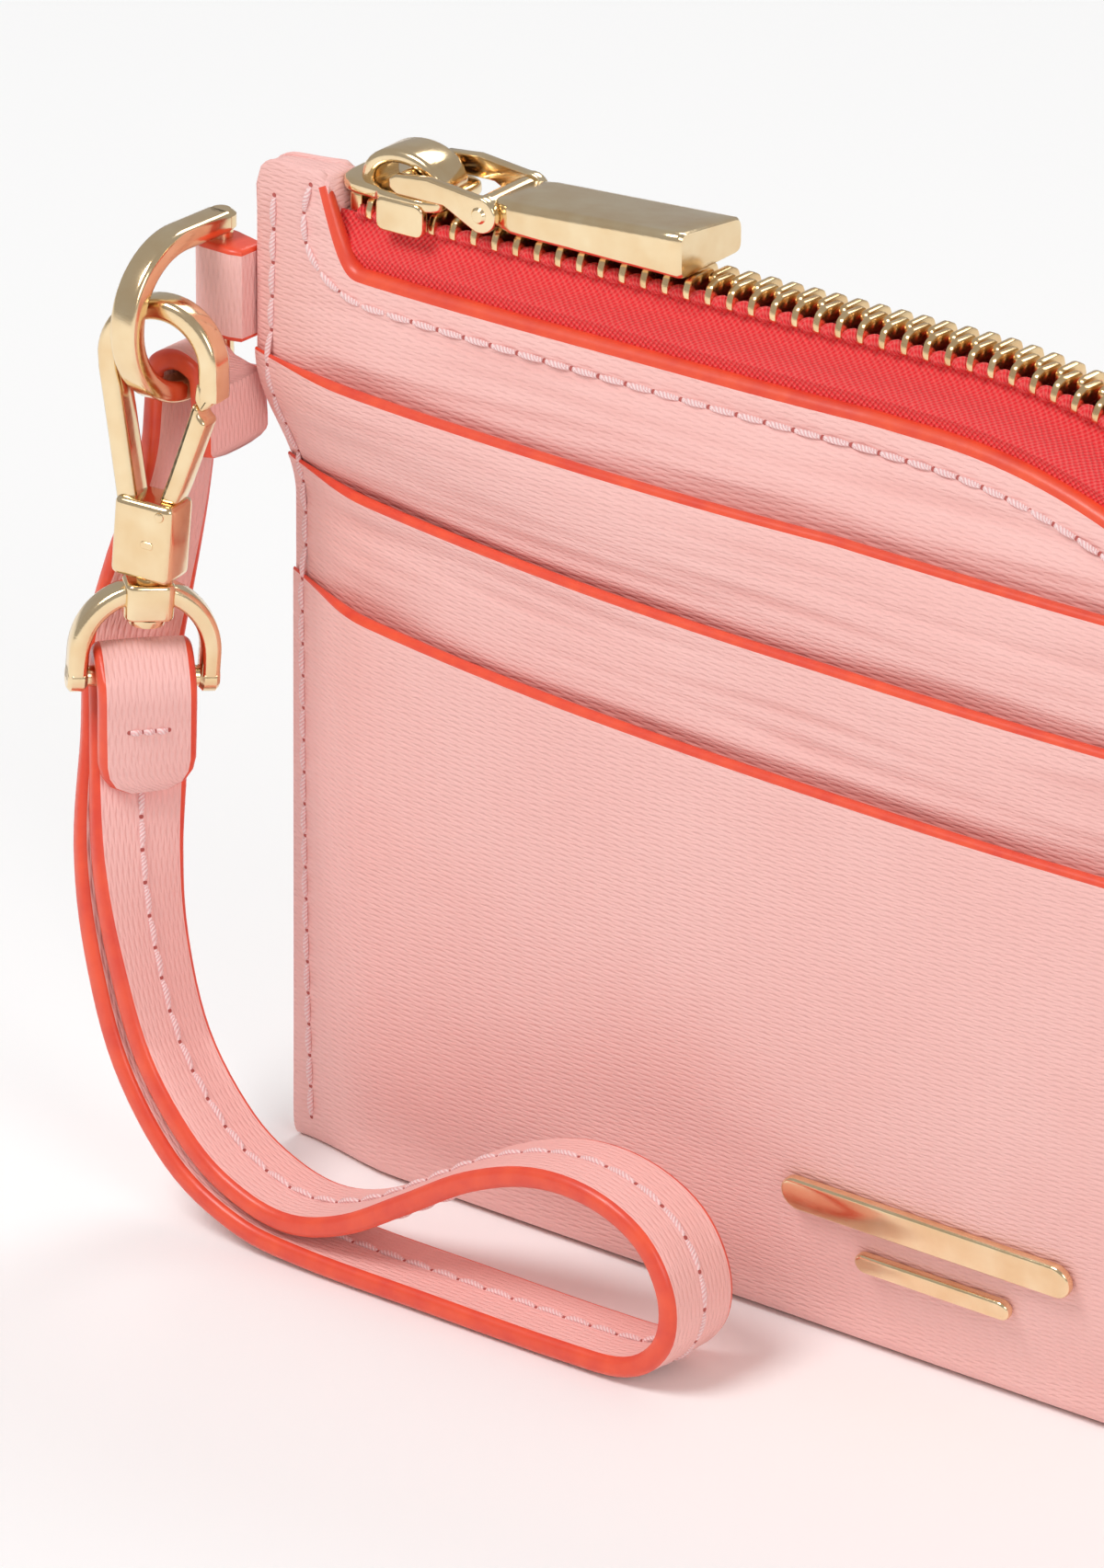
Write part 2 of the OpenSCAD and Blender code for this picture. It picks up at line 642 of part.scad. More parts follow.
module zip_stitches(side) {
    n = 60;
    function point(way, steps) = let (p = zip_uz(way, -2.4), u = p[0], z = p[1])
        at(u, side < 0 ? front_y(u, z) - steps * step_at(u) - thread_lift : back_y(u, z) + thread_lift, z);
    for (i = [0:n]) {
        way = 2 + i * (straight_len + arc_len - 6) / n;
        steps = layers_at(zip_uz(way + 0.85, -2.4)[1] - 1);
        stitch(point(way - 0.85, steps), point(way + 0.85, steps));
    }
}

module zip_stitches_front() {
    color("mistyrose") zip_stitches(-1);
}

module zip_stitches_back() {
    color("mistyrose") zip_stitches(1);
}

front_panel();
outer_wrap();
pocket_panel_upper();
pocket_panel_middle();
lining_front();
lining_back();
zip_tape_front();
zip_tape_back();
zip_teeth_front();
zip_teeth_back();
zip_stop_closed();
zip_stop_open();
slider_body();
pull_link();
pull_pin();
pull_tab();
ring_tab();
d_ring();
hook_frame();
hook_gate();
gate_pin();
swivel_rivet();
swivel_head();
bail();
wrist_strap();
bail_tack();
ring_tack();
emblem_long_bar();
emblem_short_bar();
emblem_pins();
seam_stitches_left();
seam_stitches_right();
zip_stitches_front();
zip_stitches_back();
strap_stitches();
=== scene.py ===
import math
import bpy
import bmesh
from mathutils import Matrix, Vector, noise


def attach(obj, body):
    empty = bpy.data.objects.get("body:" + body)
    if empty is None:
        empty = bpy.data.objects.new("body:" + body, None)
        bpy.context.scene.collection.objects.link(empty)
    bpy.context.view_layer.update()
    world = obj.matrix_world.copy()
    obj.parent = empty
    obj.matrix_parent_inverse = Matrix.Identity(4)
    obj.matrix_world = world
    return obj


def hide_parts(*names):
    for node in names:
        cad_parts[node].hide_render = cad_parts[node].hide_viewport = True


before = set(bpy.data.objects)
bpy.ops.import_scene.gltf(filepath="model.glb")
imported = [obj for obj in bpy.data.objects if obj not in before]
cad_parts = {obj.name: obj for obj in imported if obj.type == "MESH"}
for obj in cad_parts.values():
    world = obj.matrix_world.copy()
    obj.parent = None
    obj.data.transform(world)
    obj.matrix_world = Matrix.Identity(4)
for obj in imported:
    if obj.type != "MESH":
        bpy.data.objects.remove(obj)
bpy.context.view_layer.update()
print("frame loaded")

mm = 0.001  # everything below is drawn in millimetres and scaled when a piece is finished
upward = Vector((0, 0, 1))

# camera

cameraLook = {"place": (536.7, -714.9, 430.5), "aim": (-42.23, 0.0, 38.29), "roll": 0.25, "lens": 292.0}


def makeCamera(look):
    camera = bpy.data.cameras.new("camera")
    camera.lens = look["lens"]
    camera.sensor_width = 36
    camera.clip_start = 0.05
    camera.clip_end = 20
    place = Vector(look["place"]) * mm
    forward = (Vector(look["aim"]) * mm - place).normalized()
    right = forward.cross(upward).normalized()
    up = right.cross(forward)
    turn = math.radians(look["roll"])
    side = right * math.cos(turn) + up * math.sin(turn)
    top = up * math.cos(turn) - right * math.sin(turn)
    holder = bpy.data.objects.new("camera", camera)
    holder.matrix_world = Matrix.Translation(place) @ Matrix((side, top, -forward)).transposed().to_4x4()
    bpy.context.scene.collection.objects.link(holder)
    bpy.context.scene.camera = holder


makeCamera(cameraLook)
print("camera placed")

# finishes


def addNode(material, kind, inputs=None, **settings):
    node = material.node_tree.nodes.new(kind)
    for key, value in settings.items():
        setattr(node, key, value)
    for key, value in (inputs or {}).items():
        if isinstance(value, bpy.types.NodeSocket):
            material.node_tree.links.new(value, node.inputs[key])
        else:
            node.inputs[key].default_value = value
    return node


def newFinish(name, **values):
    material = bpy.data.materials.new(name)
    material.use_nodes = True
    shader = material.node_tree.nodes["Principled BSDF"]
    for key, value in values.items():
        shader.inputs[key.replace("_", " ")].default_value = value
    return material, shader


def mixColours(material, factor, first, second):
    # the colour sockets of a mix node are its seventh and eighth
    node = addNode(material, "ShaderNodeMix", data_type="RGBA")
    for socket, value in ((node.inputs[0], factor), (node.inputs[6], first), (node.inputs[7], second)):
        if isinstance(value, bpy.types.NodeSocket):
            material.node_tree.links.new(value, socket)
        else:
            socket.default_value = (*value, 1) if isinstance(value, tuple) else value
    return node.outputs[2]


def spread(material, value, low, high, fromLow=0.0, fromHigh=1.0):
    node = addNode(material, "ShaderNodeMapRange", {"Value": value, "From Min": fromLow,
                                                    "From Max": fromHigh, "To Min": low, "To Max": high})
    return node.outputs["Result"]


def joinMath(material, operation, first, second):
    node = addNode(material, "ShaderNodeMath", operation=operation)
    for socket, value in zip(node.inputs, (first, second)):
        if isinstance(value, bpy.types.NodeSocket):
            material.node_tree.links.new(value, socket)
        else:
            socket.default_value = value
    return node.outputs["Value"]


def ribs(material, place, pitch, angle, wobble=1.0):
    # parallel ridges a pitch apart, turned by an angle in degrees
    turned = addNode(material, "ShaderNodeVectorRotate", {"Vector": place, "Angle": math.radians(angle)},
                     rotation_type="Z_AXIS")
    wave = addNode(material, "ShaderNodeTexWave",
                   {"Vector": turned.outputs["Vector"], "Scale": math.pi / (10 * pitch),
                    "Distortion": wobble, "Detail": 2.0, "Detail Scale": 1.5},
                   wave_type="BANDS", bands_direction="X", wave_profile="SIN")
    return wave.outputs["Fac"]


def linkTo(material, value, socket):
    material.node_tree.links.new(value, socket)


def addBump(material, shader, height, strength, depth):
    bump = addNode(material, "ShaderNodeBump", {"Height": height, "Strength": strength, "Distance": depth})
    linkTo(material, bump.outputs["Normal"], shader.inputs["Normal"])


def flatPlace(material):
    return addNode(material, "ShaderNodeUVMap", uv_map="millimetres").outputs["UV"]


def scaled(material, place, scale):
    return addNode(material, "ShaderNodeMapping", {"Vector": place, "Scale": scale}).outputs["Vector"]


def solidPlace(material):
    return scaled(material, addNode(material, "ShaderNodeTexCoord").outputs["Object"], (1000, 1000, 1000))


def cloud(material, place, size, detail=3.0):
    return addNode(material, "ShaderNodeTexNoise", {"Vector": place, "Scale": 1 / size,
                                                    "Detail": detail}).outputs["Fac"]


def patchy(material, place, size, first, second, low=0.3, high=0.7):
    # slow patches from one colour to the other
    share = spread(material, cloud(material, place, size), 0, 1, low, high)
    return mixColours(material, share, first, second)


# the third colour is a painted shade, a deep red laid where the panels carry a painted shade value
leatherLook = {"pale": (0.92, 0.53, 0.49), "deep": (0.91, 0.505, 0.465), "paintedShade": (0.60, 0.17, 0.14),
               "grainPitch": 0.5, "grainAngle": 80, "grainDepth": 0.00009}


def makeLeather(look):
    material, shader = newFinish("crossGrainLeather", Specular_IOR_Level=0.4, Coat_Weight=0.06,
                                 Coat_Roughness=0.35)
    place = flatPlace(material)
    falling = ribs(material, place, look["grainPitch"], look["grainAngle"])
    rising = ribs(material, place, look["grainPitch"], -look["grainAngle"])
    grain = joinMath(material, "MINIMUM", joinMath(material, "MAXIMUM", falling, rising), 0.85)
    pores = cloud(material, place, 0.35, 4.0)
    height = joinMath(material, "ADD", grain, joinMath(material, "MULTIPLY", pores, 0.6))
    addBump(material, shader, height, 0.75, look["grainDepth"])
    tone = patchy(material, place, 14.0, look["deep"], look["pale"], 0.35, 0.65)
    worn = mixColours(material, spread(material, grain, 0.35, 0.0, 0.1, 0.75), tone, look["deep"])
    # painted shade: the colour darkens towards that deep red along the pocket mouths and in the wrinkle
    # troughs
    paintedShade = addNode(material, "ShaderNodeAttribute", attribute_name="paintedShade").outputs["Fac"]
    linkTo(material, mixColours(material, paintedShade, worn, look["paintedShade"]), shader.inputs["Base Color"])
    gloss = joinMath(material, "MULTIPLY", grain, pores)
    linkTo(material, spread(material, gloss, 0.58, 0.42), shader.inputs["Roughness"])
    return material


edgeLook = {"bright": (0.86, 0.095, 0.035), "dull": (0.74, 0.06, 0.03)}


def makeEdgePaint(look):
    material, shader = newFinish("orangeEdgePaint", Specular_IOR_Level=0.5, Coat_Weight=0.25,
                                 Coat_Roughness=0.2)
    place = solidPlace(material)
    tone = patchy(material, place, 2.5, look["dull"], look["bright"])
    linkTo(material, tone, shader.inputs["Base Color"])
    linkTo(material, spread(material, cloud(material, place, 0.6), 0.3, 0.5), shader.inputs["Roughness"])
    addBump(material, shader, cloud(material, place, 0.8, 4.0), 0.5, 0.00006)
    return material


tapeLook = {"light": (0.99, 0.12, 0.11), "dark": (0.92, 0.02, 0.03), "pitch": 0.34, "angle": 38}


def makeTape(look):
    material, shader = newFinish("redTwillTape", Specular_IOR_Level=0.3, Sheen_Weight=0.08,
                                 Sheen_Roughness=0.5)
    place = flatPlace(material)
    twill = ribs(material, place, look["pitch"], look["angle"], 1.4)
    yarn = ribs(material, place, look["pitch"] * 1.3, -look["angle"] - 12, 1.4)
    weave = joinMath(material, "ADD", twill, joinMath(material, "MULTIPLY", yarn, 0.9))
    tone = mixColours(material, spread(material, weave, 0, 1, 0.2, 1.6), look["dark"], look["light"])
    linkTo(material, tone, shader.inputs["Base Color"])
    linkTo(material, spread(material, weave, 0.9, 0.7, 0.0, 1.5), shader.inputs["Roughness"])
    addBump(material, shader, weave, 0.9, 0.00012)
    return material


goldLook = {"bright": (0.91, 0.73, 0.47), "warm": (0.84, 0.61, 0.35)}


def makeGold(look, name="paleGoldPlate", rough=(0.11, 0.2)):
    material, shader = newFinish(name, Metallic=1.0)
    place = solidPlace(material)
    tone = patchy(material, place, 3.0, look["warm"], look["bright"])
    linkTo(material, tone, shader.inputs["Base Color"])
    hairlines = cloud(material, scaled(material, place, (0.3, 0.3, 3.0)), 0.25, 5.0)
    linkTo(material, spread(material, hairlines, *rough), shader.inputs["Roughness"])
    addBump(material, shader, hairlines, 0.25, 0.00002)
    return material


threadLook = {"light": (0.97, 0.74, 0.73), "dark": (0.84, 0.46, 0.45)}


def makeThread(look):
    material, shader = newFinish("palePinkThread", Specular_IOR_Level=0.35, Sheen_Weight=0.2)
    place = flatPlace(material)
    twist = ribs(material, place, 0.28, 35, 0.3)
    linkTo(material, mixColours(material, twist, look["dark"], look["light"]), shader.inputs["Base Color"])
    linkTo(material, spread(material, twist, 0.75, 0.5), shader.inputs["Roughness"])
    addBump(material, shader, twist, 0.8, 0.00006)
    return material


def makeCloth(name, light, dark, pitch):
    material, shader = newFinish(name, Specular_IOR_Level=0.25, Sheen_Weight=0.15)
    place = flatPlace(material)
    weave = joinMath(material, "MAXIMUM", ribs(material, place, pitch, 0, 0.5),
                     ribs(material, place, pitch, 90, 0.5))
    linkTo(material, mixColours(material, weave, dark, light), shader.inputs["Base Color"])
    linkTo(material, spread(material, weave, 0.95, 0.75), shader.inputs["Roughness"])
    addBump(material, shader, weave, 0.7, 0.0001)
    return material


def makeHoleShade():
    # painted shade: the dark inside a needle hole in the leather, drawn as a small disc
    material, shader = newFinish("needleHoleShade", Specular_IOR_Level=0.1)
    place = solidPlace(material)
    tone = mixColours(material, cloud(material, place, 0.3), (0.40, 0.08, 0.07), (0.56, 0.16, 0.14))
    linkTo(material, tone, shader.inputs["Base Color"])
    linkTo(material, spread(material, cloud(material, place, 0.2), 0.8, 1.0), shader.inputs["Roughness"])
    addBump(material, shader, cloud(material, place, 0.2), 0.5, 0.00005)
    return material


leather = makeLeather(leatherLook)
edgePaint = makeEdgePaint(edgeLook)
tapeCloth = makeTape(tapeLook)
gold = makeGold(goldLook)
toothGold = makeGold({"bright": (0.93, 0.70, 0.40), "warm": (0.80, 0.52, 0.26)}, "toothBrass", (0.16, 0.3))
thread = makeThread(threadLook)
liningCloth = makeCloth("sandLining", (0.66, 0.48, 0.38), (0.42, 0.28, 0.21), 0.4)
needleHoleShade = makeHoleShade()
print("finishes made")

# mesh tools


def distances(points):
    total = 0.0
    found = [0.0]
    for before, after in zip(points, points[1:]):
        total += (after - before).length
        found.append(total)
    return found


def loft(mesh, rings, materialAt=None, capMaterial=0, caps=True, paintedShadeAt=None, wrapped=True):
    # joins rings of points that all have the same count
    flat = mesh.loops.layers.uv.verify()
    paintedShade = mesh.verts.layers.float.get("paintedShade") or mesh.verts.layers.float.new("paintedShade")
    count = len(rings[0])
    corners = []
    for i, ring in enumerate(rings):
        row = [mesh.verts.new(point * mm) for point in ring]
        # each point may carry a painted shade value, which the leather finish turns into darker colour
        if paintedShadeAt:
            for j, vert in enumerate(row):
                vert[paintedShade] = paintedShadeAt(i, j)
        corners.append(row)
    middles = [sum(ring, Vector()) / count for ring in rings]
    along = distances(middles)
    around = [distances(list(ring) + [ring[0]]) for ring in rings]
    for i in range(len(rings) - 1):
        for j in range(count if wrapped else count - 1):
            m = (j + 1) % count
            face = mesh.faces.new((corners[i][j], corners[i][m], corners[i + 1][m], corners[i + 1][j]))
            face.material_index = materialAt(i, j) if materialAt else 0
            spots = ((along[i], around[i][j]), (along[i], around[i][j + 1]),
                     (along[i + 1], around[i + 1][j + 1]), (along[i + 1], around[i + 1][j]))
            for corner, spot in zip(face.loops, spots):
                corner[flat].uv = spot
    if caps:
        for row in (corners[0], corners[-1]):
            face = mesh.faces.new(row)
            face.material_index = capMaterial
            for corner in face.loops:
                corner[flat].uv = (corner.vert.co.y / mm, corner.vert.co.z / mm)


def finishPiece(name, mesh, materials, body, nodes, sharp=40):
    bmesh.ops.recalc_face_normals(mesh, faces=mesh.faces)
    data = bpy.data.meshes.new(name)
    mesh.to_mesh(data)
    mesh.free()
    data.uv_layers[0].name = "millimetres"
    for material in materials:
        data.materials.append(material)
    data.shade_smooth()
    data.set_sharp_from_angle(angle=math.radians(sharp))
    piece = bpy.data.objects.new(name, data)
    bpy.context.scene.collection.objects.link(piece)
    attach(piece, body)
    if nodes:
        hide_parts(*nodes)


def circlePoints(radius, count, height):
    turns = [math.tau * k / count for k in range(count)]
    return [Vector((radius * math.cos(turn), radius * math.sin(turn), height)) for turn in turns]


def turnedShape(mesh, profile, place=Matrix(), count=24):
    # a lathe shape from pairs of radius and height
    loft(mesh, [[place @ p for p in circlePoints(max(r, 0.01), count, z)] for r, z in profile])


def inset(outline, amount):
    # moves a closed outline inwards, each corner along its own bisector
    area = sum(a[0] * b[1] - b[0] * a[1] for a, b in zip(outline, outline[1:] + outline[:1]))
    way = 1 if area > 0 else -1
    moved = []
    for k, (x, y) in enumerate(outline):
        before = Vector((x - outline[k - 1][0], y - outline[k - 1][1])).normalized()
        following = outline[(k + 1) % len(outline)]
        after = Vector((following[0] - x, following[1] - y)).normalized()
        normal = Vector((-before.y - after.y, before.x + after.x)) * way
        if normal.length < 1e-6:
            normal = Vector((-before.y, before.x)) * way
        normal.normalize()
        stretch = max(0.5, abs(normal.dot(Vector((-before.y, before.x)))))
        moved.append((x + normal.x * amount / stretch, y + normal.y * amount / stretch))
    return moved


def roundCorners(outline, radius, steps=4):
    # an outline with its corners cut by short curves
    smoothed = []
    for k, corner in enumerate(outline):
        here = Vector(corner)
        before = Vector(outline[k - 1])
        after = Vector(outline[(k + 1) % len(outline)])
        start = here.lerp(before, min(0.45, radius / max((before - here).length, 1e-6)))
        end = here.lerp(after, min(0.45, radius / max((after - here).length, 1e-6)))
        for step in range(steps + 1):
            t = step / steps
            spot = start * (1 - t) ** 2 + here * 2 * t * (1 - t) + end * t ** 2
            smoothed.append((spot.x, spot.y))
    return smoothed


def slabShape(mesh, outline, depth, soften=0.25, place=Matrix(), steps=3, rim=0):
    # an outline in X and Y given a depth along Z about its middle, with softened rims
    rings = []
    for k in range(steps + 1):
        angle = math.pi / 2 * k / steps
        rings.append((soften * (1 - math.sin(angle)), -depth / 2 + soften * (1 - math.cos(angle))))
    levels = rings + [(amount, -z) for amount, z in reversed(rings)]
    loft(mesh, [[place @ Vector((x, y, z)) for x, y in inset(outline, amount)] for amount, z in levels],
         lambda i, j: 0 if i == steps else rim, rim)


def roundedBar(wide, deep, radius, steps=3):
    # a closed section, wide across the path and deep along its plane's normal
    points = []
    for a, b, start in ((1, 1, 0), (-1, 1, 90), (-1, -1, 180), (1, -1, 270)):
        for k in range(steps + 1):
            angle = math.radians(start + 90 * k / steps)
            points.append((a * (wide / 2 - radius) + radius * math.cos(angle),
                           b * (deep / 2 - radius) + radius * math.sin(angle)))
    return points


def sweepFlat(mesh, path, section, place=Matrix()):
    # carries a section along a path in the X and Z plane
    rings = []
    for before, spot, after in zip(path[:1] + path, path, path[1:] + path[-1:]):
        run = Vector((after[0] - before[0], after[1] - before[1])).normalized()
        rings.append([place @ Vector((spot[0] + run.y * a, b, spot[1] - run.x * a)) for a, b in section])
    loft(mesh, rings)


def arc(centre, radius, start, end, steps):
    turns = [math.radians(start + (end - start) * k / steps) for k in range(steps + 1)]
    return [(centre[0] + radius * math.cos(turn), centre[1] + radius * math.sin(turn)) for turn in turns]


def through(points, t):
    # smooth curve through the points, at t counted in points
    last = len(points) - 1
    i = min(int(t), last - 1)
    f = t - i
    a, b, c, d = (points[max(0, i - 1)], points[i], points[i + 1], points[min(last, i + 2)])
    return (b * 2 + (c - a) * f + (a * 2 - b * 5 + c * 4 - d) * f ** 2
            + (b * 3 - a - c * 3 + d) * f ** 3) * 0.5


quarter = {axis: Matrix.Rotation(math.pi / 2, 4, axis) for axis in "XYZ"}  # quarter turns
print("mesh tools ready")

# shape of the soft body
# u runs along the wallet from its left edge, z upwards; the front is towards -Y

walletShape = {"width": 138, "height": 86, "opening": 79, "frontSwell": 8.0, "backSwell": 7.6,
               "cornerPull": 5.4, "layerStep": 1.2, "seamStep": 0.45, "turnAt": 66, "turnHeight": 15,
               "turnRadius": 64, "earEnd": 7.2, "slackWave": 0.22}
pocketHeights = (70, 60, 50)
frontKnots = ((0, -0.12), (4, 0.06), (10, 0.3), (25, 0.67), (40, 0.87), (50, 0.95), (60, 1), (68, 1),
              (74, 0.8), (79, 0.58), (86, 0.4))
backKnots = ((0, 0.24), (4, 0.34), (10, 0.5), (25, 0.8), (40, 0.96), (50, 1), (60, 1), (70, 0.97),
             (79, 0.85), (86, 0.6))


def at(u, y, z):
    return Vector((u - walletShape["width"] / 2, y, z))


def smooth(a):
    c = min(1, max(0, a))
    return c * c * (3 - 2 * c)


def easeThrough(knots, z):
    # smooth reading between the knots
    last = len(knots) - 1
    k = max(0, min(last - 1, sum(1 for knot in knots if knot[0] <= z) - 1))
    (z0, a), (z1, b) = knots[k], knots[k + 1]
    before = knots[max(0, k - 1)]
    after = knots[min(last, k + 2)]
    slopeA = (b - before[1]) / (z1 - before[0])
    slopeB = (after[1] - a) / (after[0] - z0)
    t = min(1, max(0, (z - z0) / (z1 - z0)))
    run = z1 - z0
    return (a * (1 + 2 * t) * (1 - t) ** 2 + slopeA * run * t * (1 - t) ** 2
            + b * t * t * (3 - 2 * t) - slopeB * run * t * t * (1 - t))


def swell(u):
    t = min(1, abs(1 - u / 69))
    return max(0, 1 - t * t) ** 0.75


def skive(u):
    return smooth(min(u, walletShape["width"] - u) / 12)


def stepAt(u):
    return walletShape["seamStep"] + (walletShape["layerStep"] - walletShape["seamStep"]) * skive(u)


def cornerPull(u, z):
    return walletShape["cornerPull"] * max(0, 1 - u / 60) * smooth((z - 56) / 14)


def hang(u, z, seed):
    # slow waves of soft leather
    return walletShape["slackWave"] * skive(u) * noise.noise(Vector((u * 0.04, z * 0.035, seed)))


def frontY(u, z):
    out = walletShape["frontSwell"] * easeThrough(frontKnots, z) * swell(u)
    return 1.35 - out - cornerPull(u, z) + hang(u, z, 3)


def backY(u, z):
    back = cornerPull(u, z) * (1 - 0.75 * smooth((u - 4) / 14))
    return 2.9 + walletShape["backSwell"] * easeThrough(backKnots, z) * swell(u) - back + hang(u, z, 9)


def earRound(d):
    return 0 if d >= 2.5 else 2.5 - math.sqrt(6.25 - (2.5 - d) ** 2)


def topHeight(u):
    opening = walletShape["opening"]
    if u < 11:
        fall = smooth((u - 6.8) / 4.2) ** 0.6  # steep beside the ear and round below
        return opening + (walletShape["height"] - opening) * (1 - fall) - earRound(u)
    if u < walletShape["turnAt"]:
        return opening
    return 8 + 4 * (1 - smooth((u - 129.8) / 3)) - earRound(walletShape["width"] - u)


def makeColumns():
    # each column runs from a point at the bottom to a point on the top outline
    outline = []
    for k in range(14):
        outline.append((k * 0.5, topHeight(k * 0.5), k * 0.5))
    for k in range(14):
        u = 7.0 + k * 0.29
        outline.append((u, topHeight(u), u))
    for k in range(56):
        outline.append((11 + k, walletShape["opening"], 11 + k))
    for k in range(1, 80):
        angle = math.pi / 2 * k / 80
        outline.append((66 + 64 * math.sin(angle), 15 + 64 * math.cos(angle), 66 + 64 * k / 80))
    for k in range(18):
        u = 130 + 8 * k / 17
        outline.append((u, topHeight(u), u))
    columns = []
    for k, (u, z, foot) in enumerate(outline):
        before = outline[max(0, k - 1)]
        after = outline[min(len(outline) - 1, k + 1)]
        normal = Vector((before[1] - after[1], after[0] - before[0])).normalized()
        columns.append({"top": Vector((u, z)), "normal": normal, "foot": foot})
    return columns


columns = makeColumns()


# the last two set how strong the painted shade is, along each pocket mouth and in the wrinkle troughs
leatherSet = {"thick": 1.05, "openingBead": 1.75, "pocketBead": 1.1, "mouthDent": 0.2, "wrinkle": 0.3,
              "fold": 0.26, "edgeShadeTone": 0.5, "wrinkleShadeTone": 0.4}


def faceRun(column, side, layer, height, behind, thick, bead, low, trim=0.0):
    # outer face upwards, over the painted edge, and down the inner face, as (point, painted edge, painted
    # shade)
    inward = 1 if side == "front" else -1
    seam = skive(column["foot"])
    t = thick * (0.3 + 0.7 * seam)
    r = (t + (bead - thick) * seam) / 2 if bead else t / 2
    foot = Vector((column["foot"], low))
    head = column["top"] - column["normal"] * (trim + r)
    normal = column["normal"]
    if head.y > height - r:
        head = foot.lerp(head, (height - r - low) / (head.y - low))
        normal = Vector((0, 1))

    def faceY(u, z):
        return frontY(u, z) - layer * stepAt(u) if side == "front" else backY(u, z)

    hidden = min(0.9, max(0.1, (behind - 3 - low) / (head.y - low))) if behind else 0.2
    shares = [hidden * k / 8 for k in range(8)] + [hidden + (1 - hidden) * k / 34 for k in range(34)]
    loose = smooth((column["foot"] - 1) / 12) * smooth((136 - column["foot"]) / 20)
    # the ear's top is bare leather
    sealed = 0 if column["foot"] < walletShape["earEnd"] and head.y > 80 else 1
    run = []
    for share in shares:
        spot = foot.lerp(head, share)
        above = spot.y - behind if behind else -1
        dent = paintedShade = 0.0
        if above > -1.5 and behind:
            wave = noise.noise(Vector((spot.x * 0.05, spot.y * 0.75, layer + 5)))
            fold = noise.noise(Vector((spot.x * 0.02, spot.y * 0.35, layer + 15)))
            fade = smooth((above + 1.5) / 2) * smooth((head.y - spot.y) / 2.5)
            dent = loose * (leatherSet["mouthDent"] * math.exp(-(above / 1.3) ** 2)
                            + (leatherSet["wrinkle"] * wave + leatherSet["fold"] * fold) * fade)
            # painted shade: a contact shadow just above the edge of the pocket in front, and darker wrinkle
            # troughs where the wave pushes the leather in
            paintedShade = (leatherSet["edgeShadeTone"] * math.exp(-max(0, above) / 0.7) * (0.3 + 0.7 * loose)
                      + leatherSet["wrinkleShadeTone"] * loose * fade * max(0, wave))
        run.append((at(spot.x, faceY(spot.x, spot.y) + inward * max(-0.05, dent), spot.y), 0, paintedShade))
    y = faceY(head.x, head.y)
    for k in range(9):
        angle = math.pi * k / 8
        spot = head + normal * r * math.sin(angle)
        run.append((at(spot.x, y + inward * (r - r * math.cos(angle)), spot.y), sealed, 0.0))
    for k in range(1, 16):
        spot = head.lerp(foot, k / 15)
        rest = 2 * r + (t - 2 * r) * smooth((head.y - spot.y) / 3)
        run.append((at(spot.x, faceY(spot.x, spot.y) + inward * rest, spot.y), 0, 0.0))
    return run


def makePanel(name, runs, nodes, materials):
    mesh = bmesh.new()
    # the third value of each point is the painted shade along the pocket mouths and wrinkles
    loft(mesh, [[point for point, _, _ in run] for run in runs],
         lambda i, j: 1 if runs[i][j][1] and runs[i][(j + 1) % len(runs[i])][1] else 0,
         capMaterial=1, paintedShadeAt=lambda i, j: runs[i][j][2])
    finishPiece(name, mesh, materials, "wallet", nodes, sharp=60)


skins = (leather, edgePaint)
for name, layer, height, behind, bead, low, trim, node in (
        ("frontPanelLeather", 0, 200, 70, "openingBead", 3.4, 0.0, "front_panel"),
        ("upperPocketLeather", 1, 70, 60, "pocketBead", 2.6, 0.3, "pocket_panel_upper"),
        ("middlePocketLeather", 2, 60, 50, "pocketBead", 2.0, 0.5, "pocket_panel_middle")):
    runs = [faceRun(c, "front", layer, height, behind, leatherSet["thick"], leatherSet[bead], low, trim)
            for c in columns]
    makePanel(name, runs, [node], skins)


def wrapRun(column):
    # lowest pocket, folded bottom and back, as one closed section
    front = faceRun(column, "front", 3, 50, 0, leatherSet["thick"], leatherSet["pocketBead"], 3.0, 0.7)
    back = faceRun(column, "back", 0, 200, 0, leatherSet["thick"], leatherSet["openingBead"], 3.0)
    first = front[0][0]
    last = back[0][0]
    middle = (first.y + last.y) / 2
    half = (last.y - first.y) / 2
    fold = []
    for k in range(1, 12):
        angle = math.pi * k / 12
        across = -math.copysign(abs(math.cos(angle)) ** 0.6, math.cos(angle))
        fold.append((Vector((first.x, middle + half * across, 3 - 3 * math.sin(angle) ** 0.6)), 0, 0.0))
    return front[::-1] + fold + back


makePanel("outerWrapLeather", [wrapRun(c) for c in columns], ["outer_wrap"], skins)


def makeEarFold():
    # the leather turned over between the front and the back at the zip's closed end
    rings = []
    for k in range(15):
        u = 0.25 + 7.25 * k / 14
        top = topHeight(min(u, 6.8)) - 0.12 - 0.5 * smooth((u - 6.6) / 1)
        near, far = frontY(u, 84) + 0.35, backY(u, 84) - 0.35
        middle, half = (near + far) / 2, max(0.3, (far - near) / 2)
        ring = [at(u, near, 78.5)]
        for m in range(9):
            angle = math.pi * m / 8
            ring.append(at(u, middle - half * math.cos(angle), top - 0.5 + 0.5 * math.sin(angle) ** 0.6))
        rings.append(ring + [at(u, far, 78.5)])
    mesh = bmesh.new()
    loft(mesh, rings)
    finishPiece("earFoldLeather", mesh, (leather,), "wallet", None, sharp=60)


makeEarFold()


